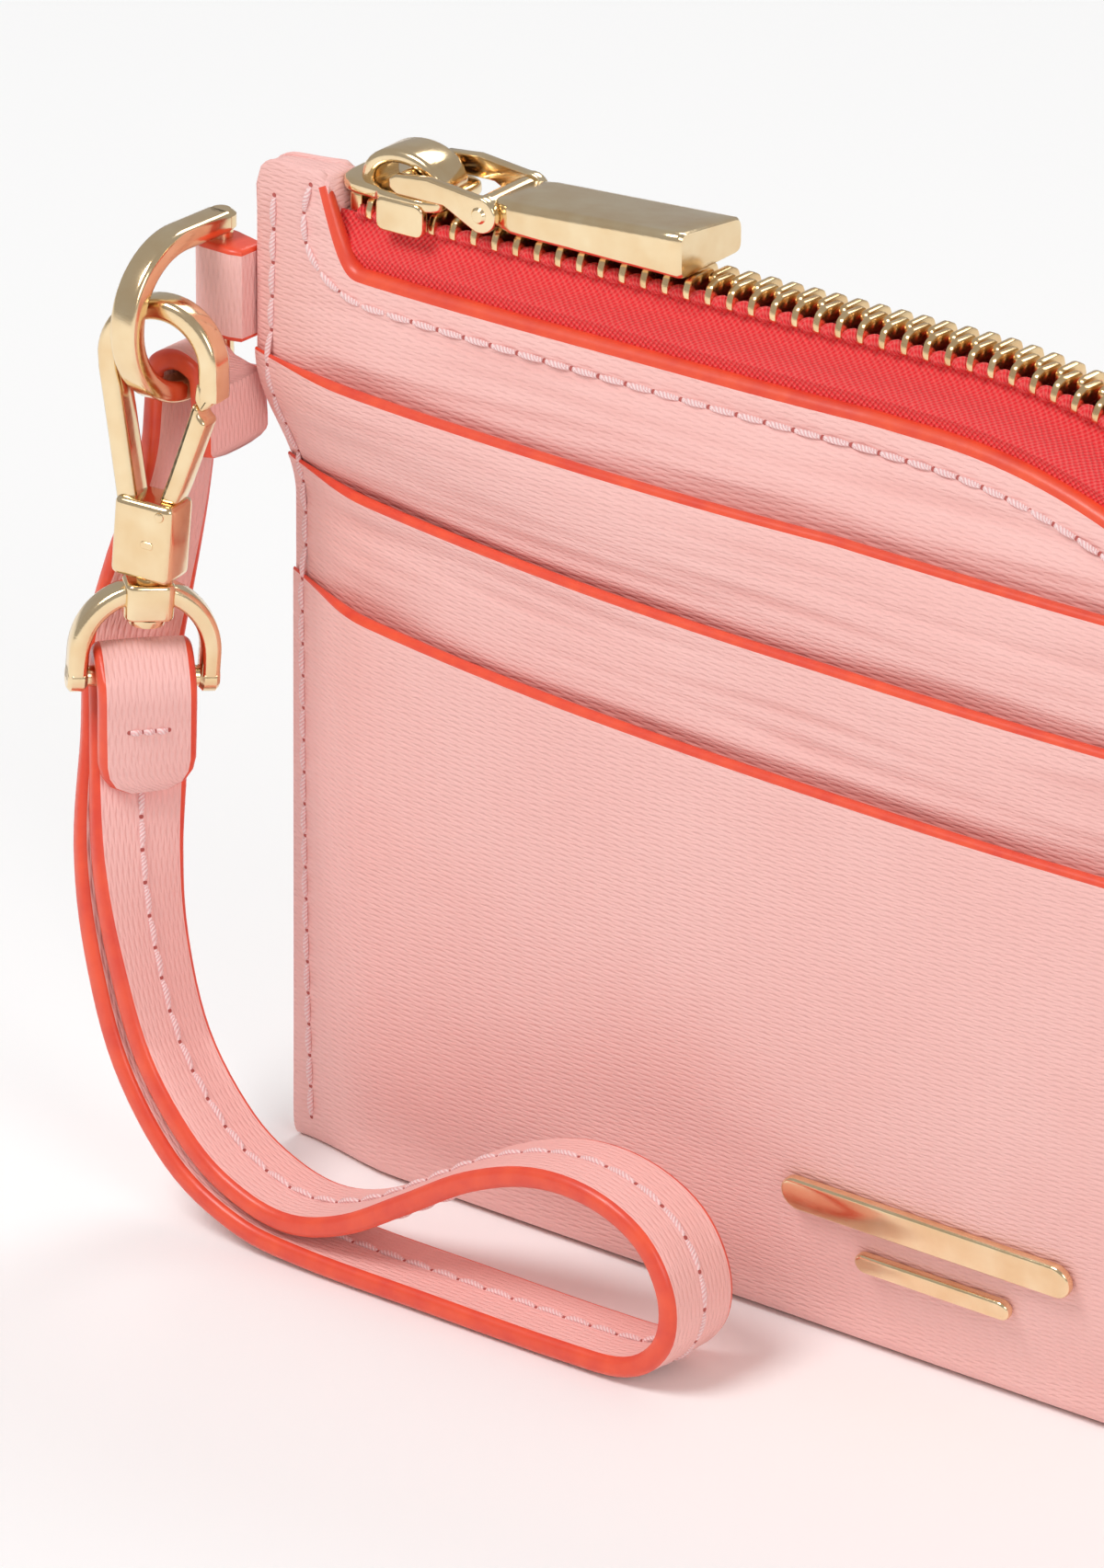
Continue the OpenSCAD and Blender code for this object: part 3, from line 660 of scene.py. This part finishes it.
def makeSideEdge(name, u, inward, low, high):
    # the sealed edge that closes the side seam between front and back
    rings = []
    for k in range(41):
        z = low + (high - low) * k / 40
        near, far = frontY(u, z) + 0.22, backY(u, z) - 0.22
        ring = [at(u + inward * 1.8, near, z), at(u + inward * 1.8, far, z)]
        for m in range(7):
            across = near + (far - near) * (1 - m / 6)
            ring.append(at(u + inward * (0.3 - 0.22 * math.sin(math.pi * m / 6)), across, z))
        rings.append(ring)
    mesh = bmesh.new()
    loft(mesh, rings)
    finishPiece(name, mesh, (edgePaint,), "wallet", None, sharp=60)


makeSideEdge("leftSideEdge", 0, 1, 2.2, 83.4)
makeSideEdge("rightSideEdge", walletShape["width"], -1, 2.2, 6.0)

inner = [c for c in columns if 2 < c["foot"] < 124]
makePanel("liningClothFront", [faceRun(c, "front", -1, 77, 0, 0.3, 0, 4.4, 2.6) for c in inner],
          ["lining_front"], (liningCloth, liningCloth))


def liningBackRun(column):
    return [(point + Vector((0, -stepAt(column["foot"]), 0)), painted, paintedShade)
            for point, painted, paintedShade in faceRun(column, "back", 0, 77, 0, 0.3, 0, 4.4, 2.6)]


makePanel("liningClothBack", [liningBackRun(c) for c in inner], ["lining_back"],
          (liningCloth, liningCloth))
print("leather and lining done")

# zip: tape, teeth and stops

zipSet = {"rise": 4.6, "start": 9.5, "pitch": 2.0, "toothWidth": 0.66, "tapeThick": 0.42, "drift": 0.0665}
straightRun = walletShape["turnAt"] - zipSet["start"]
turnRun = (walletShape["turnRadius"] + zipSet["rise"]) * math.pi / 2
zipRun = straightRun + turnRun


def zipAngle(way):
    return 0 if way <= straightRun else (way - straightRun) / turnRun * math.pi / 2


def zipSpot(way, rise):
    a = zipAngle(way)
    reach = walletShape["turnRadius"] + rise
    return Vector((min(zipSet["start"] + way, walletShape["turnAt"]) + reach * math.sin(a),
                   walletShape["turnHeight"] + reach * math.cos(a)))


def chainY(u):
    # the chain drifts backwards along the top
    if u < walletShape["turnAt"]:
        return -0.5 + zipSet["drift"] * (u - 9)
    return 3.3 - 0.6 * smooth((u - 90) / 40)


def chainPoint(way, rise, side):
    spot = zipSpot(way, rise)
    return at(spot.x, chainY(spot.x) + side, spot.y)


def tapeRing(way, side):
    edge = zipSpot(way, -1.5)
    step = stepAt(edge.x) + 0.15
    edgeY = frontY(*edge) + step if side < 0 else backY(*edge) - step
    lip = zipSpot(way, 0)
    lipY = min(edgeY, chainY(lip.x) - 2.6) if side < 0 else max(edgeY, chainY(lip.x) + 2.6)
    rises = (-1.5, 0.4, 1.2, 2.3, 3.75)
    levels = (edgeY, edgeY, lipY, chainY(lip.x) + side * 2.5, chainY(lip.x) + side * 2.0)
    path = [Vector((level, rise, 0)) for level, rise in zip(levels, rises)]
    line = [through(path, 4 * k / 14) for k in range(15)]
    outer = []
    inside = []
    for spot in line:
        u, z = zipSpot(way, spot.y)
        outer.append(at(u, spot.x, z))
        inside.append(at(u, spot.x - side * zipSet["tapeThick"], z - (0.15 if spot.y > 3 else 0)))
    return outer + inside[::-1]


def makeTapeSide(name, side, node):
    mesh = bmesh.new()
    loft(mesh, [tapeRing(-4 + (zipRun + 3.5) * k / 150, side) for k in range(151)])
    # the woven cord on the tape's edge, drawn in under each tooth
    rings = []
    steps = int(zipRun / zipSet["pitch"] * 8)
    for k in range(steps):
        way = zipRun * k / steps
        shift = 0 if side < 0 else 0.5
        bulge = 0.62 + 0.16 * math.cos(math.tau * (way - 1 - (shift + 0.5) * zipSet["pitch"])
                                       / zipSet["pitch"])
        a = zipAngle(way)
        centre = chainPoint(way, zipSet["rise"] - 0.75, side * 1.95)
        ring = []
        for m in range(10):
            turn = math.tau * m / 10
            out = bulge * 0.8 * math.sin(turn)
            ring.append(centre + Vector((math.sin(a) * out, bulge * math.cos(turn), math.cos(a) * out)))
        rings.append(ring)
    loft(mesh, rings)
    finishPiece(name, mesh, (tapeCloth,), "wallet", [node])


makeTapeSide("zipTapeFront", -1, "zip_tape_front")
makeTapeSide("zipTapeBack", 1, "zip_tape_back")

# a tooth seen along the chain: the head meets the other row, the leg grips the cord
toothOutline = roundCorners([(-0.75, -0.5), (-0.75, 0.55), (-0.4, 0.85), (1.5, 0.9), (2.3, 0.5), (2.6, -0.3),
                             (2.6, -1.0), (2.2, -1.1), (2.0, -0.7), (1.3, -0.6)], 0.2, 2)


def makeTeeth(name, side, shift, node):
    mesh = bmesh.new()
    count = int((zipRun - 3) / zipSet["pitch"])
    for i in range(count):
        way = 1 + (i + shift) * zipSet["pitch"]
        place = (Matrix.Translation(chainPoint(way, zipSet["rise"], 0))
                 @ Matrix.Rotation(zipAngle(way), 4, "Y")
                 @ Matrix.Scale(side, 4, (0, 1, 0)) @ quarter["Y"] @ quarter["Z"])
        slabShape(mesh, toothOutline, zipSet["toothWidth"], 0.16, place, 2)
    finishPiece(name, mesh, (toothGold,), "wallet", [node])


makeTeeth("zipTeethFront", -1, 0, "zip_teeth_front")
makeTeeth("zipTeethBack", 1, 0.5, "zip_teeth_back")


def makeZipStop(name, way, node):
    mesh = bmesh.new()
    place = Matrix.Translation(chainPoint(way, zipSet["rise"], 0)) @ Matrix.Rotation(zipAngle(way), 4, "Y")
    slabShape(mesh, roundCorners([(-0.6, -2.1), (0.6, -2.1), (0.6, 2.1), (-0.6, 2.1)], 0.3), 1.7, 0.3, place)
    finishPiece(name, mesh, (toothGold,), "wallet", [node])


makeZipStop("zipStopClosed", -0.6, "zip_stop_closed")
makeZipStop("zipStopOpen", zipRun - 1, "zip_stop_open")
print("zip done")

# slider and pull, drawn about the slider's middle

sliderSet = {"at": 12.4, "plateHeight": 84.65, "barAlong": 1.5, "barHeight": 86.6, "pinAlong": 9.4,
             "pinHeight": 85.8, "armOut": 3.4, "pullLength": 19.2}
sliderPlace = (Matrix.Translation(at(sliderSet["at"], chainY(sliderSet["at"]), 0))
               @ Matrix.Rotation(math.atan(zipSet["drift"]), 4, "Z"))
standing = quarter["X"]  # turns an outline in X and Y to stand in X and Z


def shifted(x, y, z):
    return Matrix.Translation((x, y, z))


def makeSlider():
    mesh = bmesh.new()
    top = sliderSet["plateHeight"]
    plan = [(-5.1, -1.8), (-3.8, -3.0), (-0.9, -3.2), (-0.3, -3.7), (3.6, -3.7), (5.2, -2.9),
            (5.2, 2.9), (3.6, 3.7), (-0.3, 3.7), (-0.9, 3.2), (-3.8, 3.0), (-5.1, 1.8)]
    slabShape(mesh, roundCorners(plan, 1.0), 1.1, 0.35, sliderPlace @ shifted(0, 0, top + 0.55))
    flange = roundCorners([(-0.7, -2.1), (3.8, -2.1), (3.8, 0.7), (-0.7, 0.7)], 0.8)
    for side in (-1, 1):
        slabShape(mesh, flange, 0.9, 0.25, sliderPlace @ shifted(0.2, side * 3.4, top) @ standing)
    # the hood that holds the link's bar
    path = []
    for k in range(21):
        rise = 2.75 * math.sin(math.pi * k / 20) ** 0.8
        path.append((0.6 + 3.35 * math.cos(math.pi * (1 - k / 20)), top + 0.7 + rise))
    sweepFlat(mesh, path, roundedBar(1.15, 4.0, 0.5), sliderPlace)
    finishPiece("zipSliderBody", mesh, (gold,), "slider", ["slider_body"])


makeSlider()


def makeLink():
    mesh = bmesh.new()
    x, z = sliderSet["barAlong"], sliderSet["barHeight"]
    px, pz = sliderSet["pinAlong"], sliderSet["pinHeight"]
    eye = arc((px, pz), 1.5, 105, -120, 14)
    outline = ([(x - 0.7, z - 0.3), (x - 0.7, z + 0.4), (x - 0.1, z + 0.85), (x + 3, z + 1.15)] + eye
               + [(x + 4.5, z - 0.78), (x, z - 0.78)])
    for side in (-1, 1):
        arm = sliderPlace @ shifted(0, side * sliderSet["armOut"], 0) @ standing
        slabShape(mesh, outline, 0.85, 0.2, arm)
    turnedShape(mesh, ((0.6, -3.4), (0.72, -3.2), (0.72, 3.2), (0.6, 3.4)),
                sliderPlace @ shifted(x, 0, z) @ standing)
    finishPiece("pullLinkArms", mesh, (gold,), "link", ["pull_link"])
    pin = bmesh.new()
    turnedShape(pin, ((0.1, -4.1), (0.5, -4.05), (0.68, -3.85), (0.68, 3.85), (0.5, 4.05), (0.1, 4.1)),
                sliderPlace @ shifted(px, 0, pz) @ standing)
    finishPiece("pullLinkPin", pin, (gold,), "link", ["pull_pin"])


makeLink()


def makePullTab():
    mesh = bmesh.new()
    length = sliderSet["pullLength"]
    place = sliderPlace @ shifted(sliderSet["pinAlong"], 0, sliderSet["pinHeight"])
    rings = []
    spots = [(0.6, 0.9), (0.9, 1.0)] + [(0.9 + (length - 1.25) * k / 10, 1.0) for k in range(1, 11)]
    spots += [(length - 0.2, 0.975), (length, 0.93)]
    for x, size in spots:
        half = (2.85 + 1.45 * smooth((x - 1.2) / 1.4) * (0.35 + 0.65 * x / length)) * size
        low = -1.25 + 0.25 * x / length
        front = 1.25 + 1.6 * x / length
        back = 1.25 + 0.5 * x / length
        corners = [(-half, low * size), (half, low * size), (half, back * size), (-half, front * size)]
        rings.append([place @ Vector((x, a, b)) for a, b in roundCorners(corners, 0.75, 4)])
    loft(mesh, rings)
    turnedShape(mesh, ((1.05, -2.85), (1.28, -2.6), (1.28, 2.6), (1.05, 2.85)), place @ standing)
    finishPiece("pullTab", mesh, (gold,), "pull", ["pull_tab"])


makePullTab()
print("slider and pull done")

# ring, hook and bail

ringSet = {"barU": -3.6, "barY": -4.1, "middleY": -9.1, "middleZ": 73.3, "radius": 6.3, "band": 2.5,
           "thick": 1.8}
ringPlace = Matrix.Translation(at(ringSet["barU"], 0, 0)) @ quarter["Z"]


def makeRing():
    mesh = bmesh.new()
    y, z, r = ringSet["middleY"], ringSet["middleZ"], ringSet["radius"]
    path = ([(ringSet["barY"] - 0.2, z - r), (ringSet["barY"] - 1.5, z - r)] + arc((y, z), r, 270, 90, 40)
            + [(ringSet["barY"] - 1.5, z + r), (ringSet["barY"] - 0.2, z + r)])
    sweepFlat(mesh, path, roundedBar(ringSet["thick"], ringSet["band"], 0.5), ringPlace)
    corner = ringPlace @ shifted(ringSet["barY"], 0, z)
    for side in (-1, 1):
        turnedShape(mesh, ((0.8, -0.9), (1.25, -0.5), (1.25, 0.5), (0.8, 0.9)),
                    corner @ shifted(0, 0, side * r))
    turnedShape(mesh, ((0.98, -r), (1.0, 0), (0.98, r)), corner)
    finishPiece("sideDRing", mesh, (gold,), "ring", ["d_ring"])


makeRing()


def makeRingTab():
    mesh = bmesh.new()
    u, y = ringSet["barU"], ringSet["barY"]
    loop = ([(-0.1, y + 1.2), (u + 0.4, y + 1.95)] + arc((u, y), 2.0, 80, 280, 14)
            + [(-1.2, y - 1.95), (-0.1, y - 1.6)])
    loop = [(at(a, b, 0).x, b) for a, b in loop]
    slabShape(mesh, loop, 7.8, 0.45, shifted(0, 0, 74.3), 4, rim=1)
    finishPiece("ringTabLeather", mesh, (leather, edgePaint), "wallet", ["ring_tab"])


hookSet = {"foot": (-3.85, -12.9, 51), "lean": 4, "leanWay": 39, "hookTurn": 12, "bailTurn": 50,
           "loopHeight": 19.3, "loopRadius": 4.5, "bar": 1.8, "deep": 2.6, "barDrop": 7.5, "bailRadius": 5.3}


def swivelPlace(turn):
    way = math.radians(hookSet["leanWay"])
    lean = math.radians(hookSet["lean"])
    return (Matrix.Translation(at(*hookSet["foot"])) @ Matrix.Rotation(way, 4, "Z")
            @ Matrix.Rotation(lean, 4, "Y") @ Matrix.Rotation(math.radians(turn) - way, 4, "Z"))


hookPlace = swivelPlace(hookSet["hookTurn"])
bailPlace = swivelPlace(hookSet["bailTurn"])


def makeHook():
    mesh = bmesh.new()
    r, top = hookSet["loopRadius"], hookSet["loopHeight"]
    path = ([(-1.85, 7.2), (-2.3, 9.2), (-3.0, 12.3), (-3.75, 15.6), (-4.3, 17.9)]
            + arc((0, top), r, 180, 0, 28) + [(4.62, 18.2), (4.65, 17.3)])
    section = roundedBar(hookSet["bar"], hookSet["deep"], 0.55)
    sweepFlat(mesh, path, section, hookPlace)
    # stepped nose that the gate shuts against
    nose = roundCorners([(3.5, 17.2), (4.15, 16.2), (5.1, 17.0), (5.45, 18.6), (3.6, 18.6)], 0.3)
    slabShape(mesh, nose, 2.5, 0.3, hookPlace @ standing)
    collar = roundCorners([(-2.65, -1.95), (2.65, -1.95), (2.65, 1.95), (-2.65, 1.95)], 0.8)
    slabShape(mesh, collar, 6.6, 0.55, hookPlace @ shifted(0, 0, 4.6), 4)
    mark = roundCorners([(-0.55, -0.3), (0.55, -0.3), (0.55, 0.3), (-0.55, 0.3)], 0.25)
    slabShape(mesh, mark, 0.12, 0.04, hookPlace @ shifted(0.6, -1.97, 4.4) @ standing, 1)
    finishPiece("snapHookFrame", mesh, (gold,), "hook", ["hook_frame"])


def makeGate():
    mesh = bmesh.new()
    outline = [(0.9, 7.9), (2.45, 7.9), (2.9, 9.2), (4.65, 15.3), (3.95, 15.9), (3.85, 16.5), (3.3, 16.8),
               (3.0, 15.5), (1.6, 10.2)]
    slabShape(mesh, roundCorners(outline, 0.35), 2.2, 0.35, hookPlace @ standing)
    slabShape(mesh, arc((1.55, 7.1), 0.9, 0, 340, 16), 1.5, 0.15, hookPlace @ standing)
    finishPiece("snapHookGate", mesh, (gold,), "gate", ["hook_gate"])
    pin = bmesh.new()
    turnedShape(pin, ((0.1, -2.08), (0.35, -2.03), (0.45, -1.9), (0.45, 1.9), (0.35, 2.03), (0.1, 2.08)),
                hookPlace @ shifted(1.55, 0, 7.0) @ standing)
    finishPiece("snapHookGatePin", pin, (gold,), "hook", ["gate_pin"])


def makeBail():
    mesh = bmesh.new()
    r = hookSet["bailRadius"]
    middle = 2.2 - hookSet["barDrop"]
    foot = -hookSet["barDrop"]
    path = ([(-r, foot - 0.2), (-r, middle - 0.4)] + arc((0, middle), r, 180, 0, 30)
            + [(r, middle - 0.4), (r, foot - 0.2)])
    sweepFlat(mesh, path, roundedBar(1.6, 2.4, 0.5), bailPlace)
    for side in (-1, 1):
        turnedShape(mesh, ((0.9, -0.8), (1.25, -0.5), (1.25, 0.5), (0.9, 0.8)),
                    bailPlace @ shifted(side * r, 0, foot) @ quarter["Y"])
    turnedShape(mesh, ((0.85, -r), (0.85, 0), (0.85, r)), bailPlace @ shifted(0, 0, foot) @ quarter["Y"])
    finishPiece("swivelBail", mesh, (gold,), "swivel", ["bail"])
    head = bmesh.new()
    block = roundCorners([(-2.0, -1.75), (2.0, -1.75), (2.0, 1.75), (-2.0, 1.75)], 0.9)
    slabShape(head, block, 3.1, 0.35, bailPlace @ shifted(0, 0, -0.75), 3)
    finishPiece("swivelHead", head, (gold,), "swivel", ["swivel_head"])
    rivet = bmesh.new()
    turnedShape(rivet, ((0.1, -3.25), (0.9, -3.15), (1.45, -2.9), (1.6, -2.5), (1.6, -2.3), (1.0, -2.28),
                        (1.0, 1.2), (1.0, 3.3), (1.4, 3.35), (1.4, 4.2), (0.9, 4.35)), bailPlace)
    finishPiece("swivelRivet", rivet, (gold,), "swivel", ["swivel_rivet"])


makeRingTab()
makeHook()
makeGate()
makeBail()
print("ring, hook and bail done")

# wrist strap

strapSet = {"width": 8.0, "thick": 1.7, "stitchPitch": 2.7, "sewn": (12.6, 37.6),
            "ringTurn": 5, "waistCut": 3.2}
# along the wallet, depth, height, and the heading of the width in degrees
strapRoute = [Vector(p) for p in (
    (-1.3, -5.8, 61.6, 90), (-1.2, -5.9, 63.4, 90), (-1.25, -6.0, 65.3, 90), (-1.3, -6.1, 67.2, 90),
    (-1.65, -6.1, 68.6, 90), (-3.6, -6.1, 69.35, 90), (-5.55, -6.1, 68.6, 90), (-5.9, -6.1, 67.2, 90),
    (-6.0, -6.2, 65, 90), (-6.2, -6.4, 61, 88), (-6.9, -6.9, 56, 80), (-7.5, -8.6, 50, 64),
    (-7.6, -10.5, 44, 53), (-6.7, -12.1, 37, 56), (-5.9, -14.3, 29, 69), (-4.5, -15.3, 21, 82),
    (-1.7, -15.6, 12.5, 88), (3.5, -15.7, 5.6, 90), (10, -15.8, 2.2, 90), (17, -15.8, 1.25, 90),
    (30, -15.8, 1.15, 90), (43, -15.8, 1.15, 90), (50, -15.8, 1.7, 90), (53.5, -15.8, 4.6, 90),
    (53.9, -15.8, 8.8, 90), (51.4, -15.8, 12.9, 90), (46.5, -15.8, 15.1, 90), (40.5, -15.8, 15.1, 90),
    (34, -15.8, 12.8, 90), (27.5, -15.8, 8.9, 90), (21.5, -15.8, 5.4, 90), (16, -15.8, 3.8, 90),
    (10.8, -15.8, 4.6, 90), (5.6, -15.7, 7.5, 90), (0.7, -15.6, 13.6, 88), (-2.1, -15.4, 21.6, 82),
    (-3.5, -14.9, 29, 69), (-4.7, -13.3, 36.5, 55), (-5.6, -12.2, 40.4, 51), (-6.0, -11.77, 43.6, 50),
    (-4.26, -13.25, 45.75, 50), (-2.52, -14.7, 43.6, 50), (-2.7, -14.5, 40, 51), (-3.1, -14.2, 34.6, 56))]
strapEnd = len(strapRoute) - 1


def strapSpot(t):
    # the strap's middle, the way its width runs and the way its face looks
    spot = through(strapRoute, t)
    ahead = through(strapRoute, min(strapEnd, t + 0.02)) - through(strapRoute, max(0, t - 0.02))
    run = ahead.to_3d().normalized()
    heading = math.radians(spot.w)
    wide = Vector((math.cos(heading), math.sin(heading), 0))
    wide = (wide - run * wide.dot(run)).normalized()
    return at(spot.x, spot.y, spot.z), wide, wide.cross(run)


def strapSection():
    # two flat faces and two rounded, painted edges, as (across, out, painted)
    half, r = strapSet["width"] / 2, strapSet["thick"] / 2
    flat = half - r * 0.75
    points = []
    for side in (1, -1):
        for k in range(6):
            points.append((side * flat * (2 * k / 5 - 1), side * -(r + 0.06 * math.sin(math.pi * k / 5)), 0))
        for k in range(9):
            angle = math.pi * k / 8
            seam = 1 - 0.1 * math.exp(-((k - 4) / 0.7) ** 2)
            points.append((side * (flat + r * 0.75 * math.sin(angle) * seam), side * -r * math.cos(angle),
                           1))
    return points


def makeStrap():
    mesh = bmesh.new()
    section = strapSection()
    rings = []
    steps = strapEnd * 6
    for k in range(steps + 1):
        t = strapEnd * k / steps
        middle, wide, face = strapSpot(t)
        ends = min(k, steps - k)
        narrow = (0.45, 0.8, 0.95, 1.0)[min(ends, 3)]  # both ends are cut round
        # cut narrower on one side where it passes the ring's bar
        near = max(0, min(1, 2 - abs(t - strapSet["ringTurn"])))
        waist = 1 - strapSet["waistCut"] * 2 / strapSet["width"] * near
        rings.append([middle + wide * a * narrow * (waist if a > 0 else 1) + face * b
                      for a, b, _ in section])
    loft(mesh, rings, lambda i, j: 1 if section[j][2] and section[(j + 1) % len(section)][2] else 0,
         capMaterial=1)
    finishPiece("wristStrapLeather", mesh, (leather, edgePaint), "strap", ["wrist_strap"],
                sharp=60)


makeStrap()
print("strap done")

# stitches

stitchSet = {"radius": 0.27, "lift": 0.24, "holeShade": 0.22, "seamIn": 2.1, "leftPitch": 2.78, "rightPitch": 2.4}


def sewLine(mesh, holes):
    # holes are (point, normal) pairs, and a thread runs from each to the next
    for (start, outA), (end, outB) in zip(holes, holes[1:]):
        run = (end - start).normalized()
        out = (outA + outB).normalized()
        side = run.cross(out).normalized()
        rings = []
        for k in range(7):
            t = k / 6
            fat = math.sin(math.pi * (0.08 + 0.84 * t)) ** 0.6
            middle = start.lerp(end, 0.06 + 0.88 * t) + out * stitchSet["lift"] * (fat - 0.35)
            ring = []
            for m in range(8):
                turn = math.tau * m / 8
                across = out * math.cos(turn) * 0.85 + side * math.sin(turn)
                ring.append(middle + across * stitchSet["radius"] * (0.35 + 0.65 * fat))
            rings.append(ring)
        loft(mesh, rings)
    # painted shade: a small dark disc at each hole stands for the shadow inside it
    for spot, out in holes:
        side = out.orthogonal().normalized()
        other = out.cross(side)
        rings = []
        for lift, size in ((-0.05, 1.0), (0.035, 0.85)):
            flat = circlePoints(stitchSet["holeShade"] * size, 10, lift)
            rings.append([spot + out * p.z + side * p.x + other * p.y for p in flat])
        loft(mesh, rings, lambda i, j: 1, 1)


def layersAt(z):
    return sum(1 for height in pocketHeights if z < height)


def frontHole(u, z, layers=None):
    steps = layersAt(z) if layers is None else layers
    slope = (frontY(u, z + 0.5) - frontY(u, z - 0.5))
    lean = (frontY(u + 0.5, z) - frontY(u - 0.5, z))
    return at(u, frontY(u, z) - steps * stepAt(u), z), Vector((lean, -1, slope)).normalized()


def backHole(u, z):
    slope = (backY(u, z + 0.5) - backY(u, z - 0.5))
    return at(u, backY(u, z), z), Vector((0, 1, -slope)).normalized()


def makeStitching(name, lines, body, nodes):
    mesh = bmesh.new()
    for line in lines:
        sewLine(mesh, line)
    finishPiece(name, mesh, (thread, needleHoleShade), body, nodes)


leftHoles = [frontHole(stitchSet["seamIn"], 2.4 + stitchSet["leftPitch"] * k) for k in range(30)]
rightHoles = [frontHole(walletShape["width"] - stitchSet["seamIn"], 2.0 + stitchSet["rightPitch"] * k)
              for k in range(3)]
makeStitching("leftSeamStitches", [leftHoles], "wallet", ["seam_stitches_left"])
makeStitching("rightSeamStitches", [rightHoles], "wallet", ["seam_stitches_right"])
zipHoles = [zipSpot(2.2 + (zipRun - 6) * k / 60, -2.6) for k in range(61)]
earHoles = [(5.9, 84.8), (5.3, 82.4), (5.6, 80.0), (7.2, 78.0), (9.4, 76.9)]
openingHoles = [frontHole(*spot, layers=0) for spot in earHoles]
openingHoles += [frontHole(spot.x, spot.y, layersAt(spot.y + 0.6)) for spot in zipHoles]
makeStitching("zipStitchesFront", [openingHoles], "wallet", ["zip_stitches_front"])
makeStitching("zipStitchesBack", [[backHole(*spot) for spot in zipHoles]], "wallet", ["zip_stitches_back"])


def strapHoles(start, end, face, pitch):
    holes = []
    travelled = 0.0
    before = None
    for k in range(int((end - start) * 40) + 1):
        middle, wide, out = strapSpot(start + k / 40)
        if before is not None:
            travelled += (middle - before).length
        before = middle
        if travelled >= len(holes) * pitch:
            holes.append((middle + out * face * (strapSet["thick"] / 2 + 0.04), out * face))
    return holes


makeStitching("strapStitches", [strapHoles(*strapSet["sewn"], face, strapSet["stitchPitch"])
                                for face in (-1, 1)], "strap", ["strap_stitches"])


def tackHoles(t, face):
    middle, wide, out = strapSpot(t)
    return [(middle + wide * (k - 1.5) * 1.05 + out * face * (strapSet["thick"] / 2 + 0.05), out * face)
            for k in range(4)]


makeStitching("bailTackStitches", [tackHoles(strapEnd - 1, -1)], "strap", ["bail_tack"])
makeStitching("ringTackStitches", [tackHoles(1.2, -1)], "strap", ["ring_tack"])
print("stitching done")

# plain metal bars on the front

barSet = {"lift": 0.1, "thick": 0.9}


def onFront(z):
    u = walletShape["width"] / 2
    slope = (frontY(u, z - 1.5) - frontY(u, z + 1.5)) / 3
    return (Matrix.Translation(at(u, frontY(u, z) - 3 * walletShape["layerStep"], z))
            @ Matrix.Rotation(math.pi / 2 + math.atan(slope), 4, "X"))


def makeFrontBar(name, long, tall, z, node):
    mesh = bmesh.new()
    half = (long - tall) / 2
    outline = arc((half, 0), tall / 2, -90, 90, 12) + arc((-half, 0), tall / 2, 90, 270, 12)
    place = onFront(z) @ shifted(0, 0, barSet["lift"] + barSet["thick"] / 2)
    slabShape(mesh, outline, barSet["thick"], 0.3, place, 4)
    finishPiece(name, mesh, (gold,), "wallet", [node])


makeFrontBar("longFrontBar", 28, 3, 14, "emblem_long_bar")
makeFrontBar("shortFrontBar", 15, 1.8, 9.4, "emblem_short_bar")
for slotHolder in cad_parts["emblem_pins"].material_slots:
    slotHolder.material = gold

# stage and light

lightSet = {"keyPlace": (-0.25, -0.75, 1.15), "keyPower": 9.6, "keySize": 0.6,
            "fillPlace": (1.1, -0.5, 0.6), "backPlace": (-0.2, 0.8, 1.0), "fillPower": 3.4, "fillSize": 0.6,
            "skyLevel": 0.41, "floorTone": (0.99, 0.988, 0.985), "floorReach": 9000}


def makeFloor():
    mesh = bmesh.new()
    reach = lightSet["floorReach"]
    loft(mesh, [[Vector((-reach, y, 0)), Vector((reach, y, 0))] for y in (-reach, reach)],
         caps=False, wrapped=False)
    data = bpy.data.meshes.new("floor")
    mesh.to_mesh(data)
    mesh.free()
    material, shader = newFinish("paleFloor", Roughness=0.8, Specular_IOR_Level=0.2)
    tone = lightSet["floorTone"]
    patches = cloud(material, solidPlace(material), 300.0)
    colour = mixColours(material, patches, tone, tuple(c * 0.985 for c in tone))
    linkTo(material, colour, shader.inputs["Base Color"])
    data.materials.append(material)
    floor = bpy.data.objects.new("floor", data)
    bpy.context.scene.collection.objects.link(floor)


def addSoftbox(name, place, power, size):
    light = bpy.data.lights.new(name, "AREA")
    light.shape = "DISK"
    light.size = size
    light.energy = power
    holder = bpy.data.objects.new(name, light)
    holder.location = place
    holder.rotation_euler = (Vector((0, 0, 0.045)) - Vector(place)).to_track_quat("-Z", "Y").to_euler()
    bpy.context.scene.collection.objects.link(holder)


def makeSky(level):
    world = bpy.data.worlds.new("studio")
    bpy.context.scene.world = world
    world.use_nodes = True
    world.node_tree.nodes["Background"].inputs["Color"].default_value = (1, 1, 1, 1)
    world.node_tree.nodes["Background"].inputs["Strength"].default_value = level


makeFloor()
addSoftbox("keySoftbox", lightSet["keyPlace"], lightSet["keyPower"], lightSet["keySize"])
addSoftbox("fillSoftbox", lightSet["fillPlace"], lightSet["fillPower"], lightSet["fillSize"])
addSoftbox("backSoftbox", lightSet["backPlace"], lightSet["fillPower"], lightSet["fillSize"])
makeSky(lightSet["skyLevel"])
bpy.context.scene.view_settings.view_transform = "Standard"
bpy.context.scene.view_settings.look = "None"
print("stage set")

bpy.context.view_layer.update()
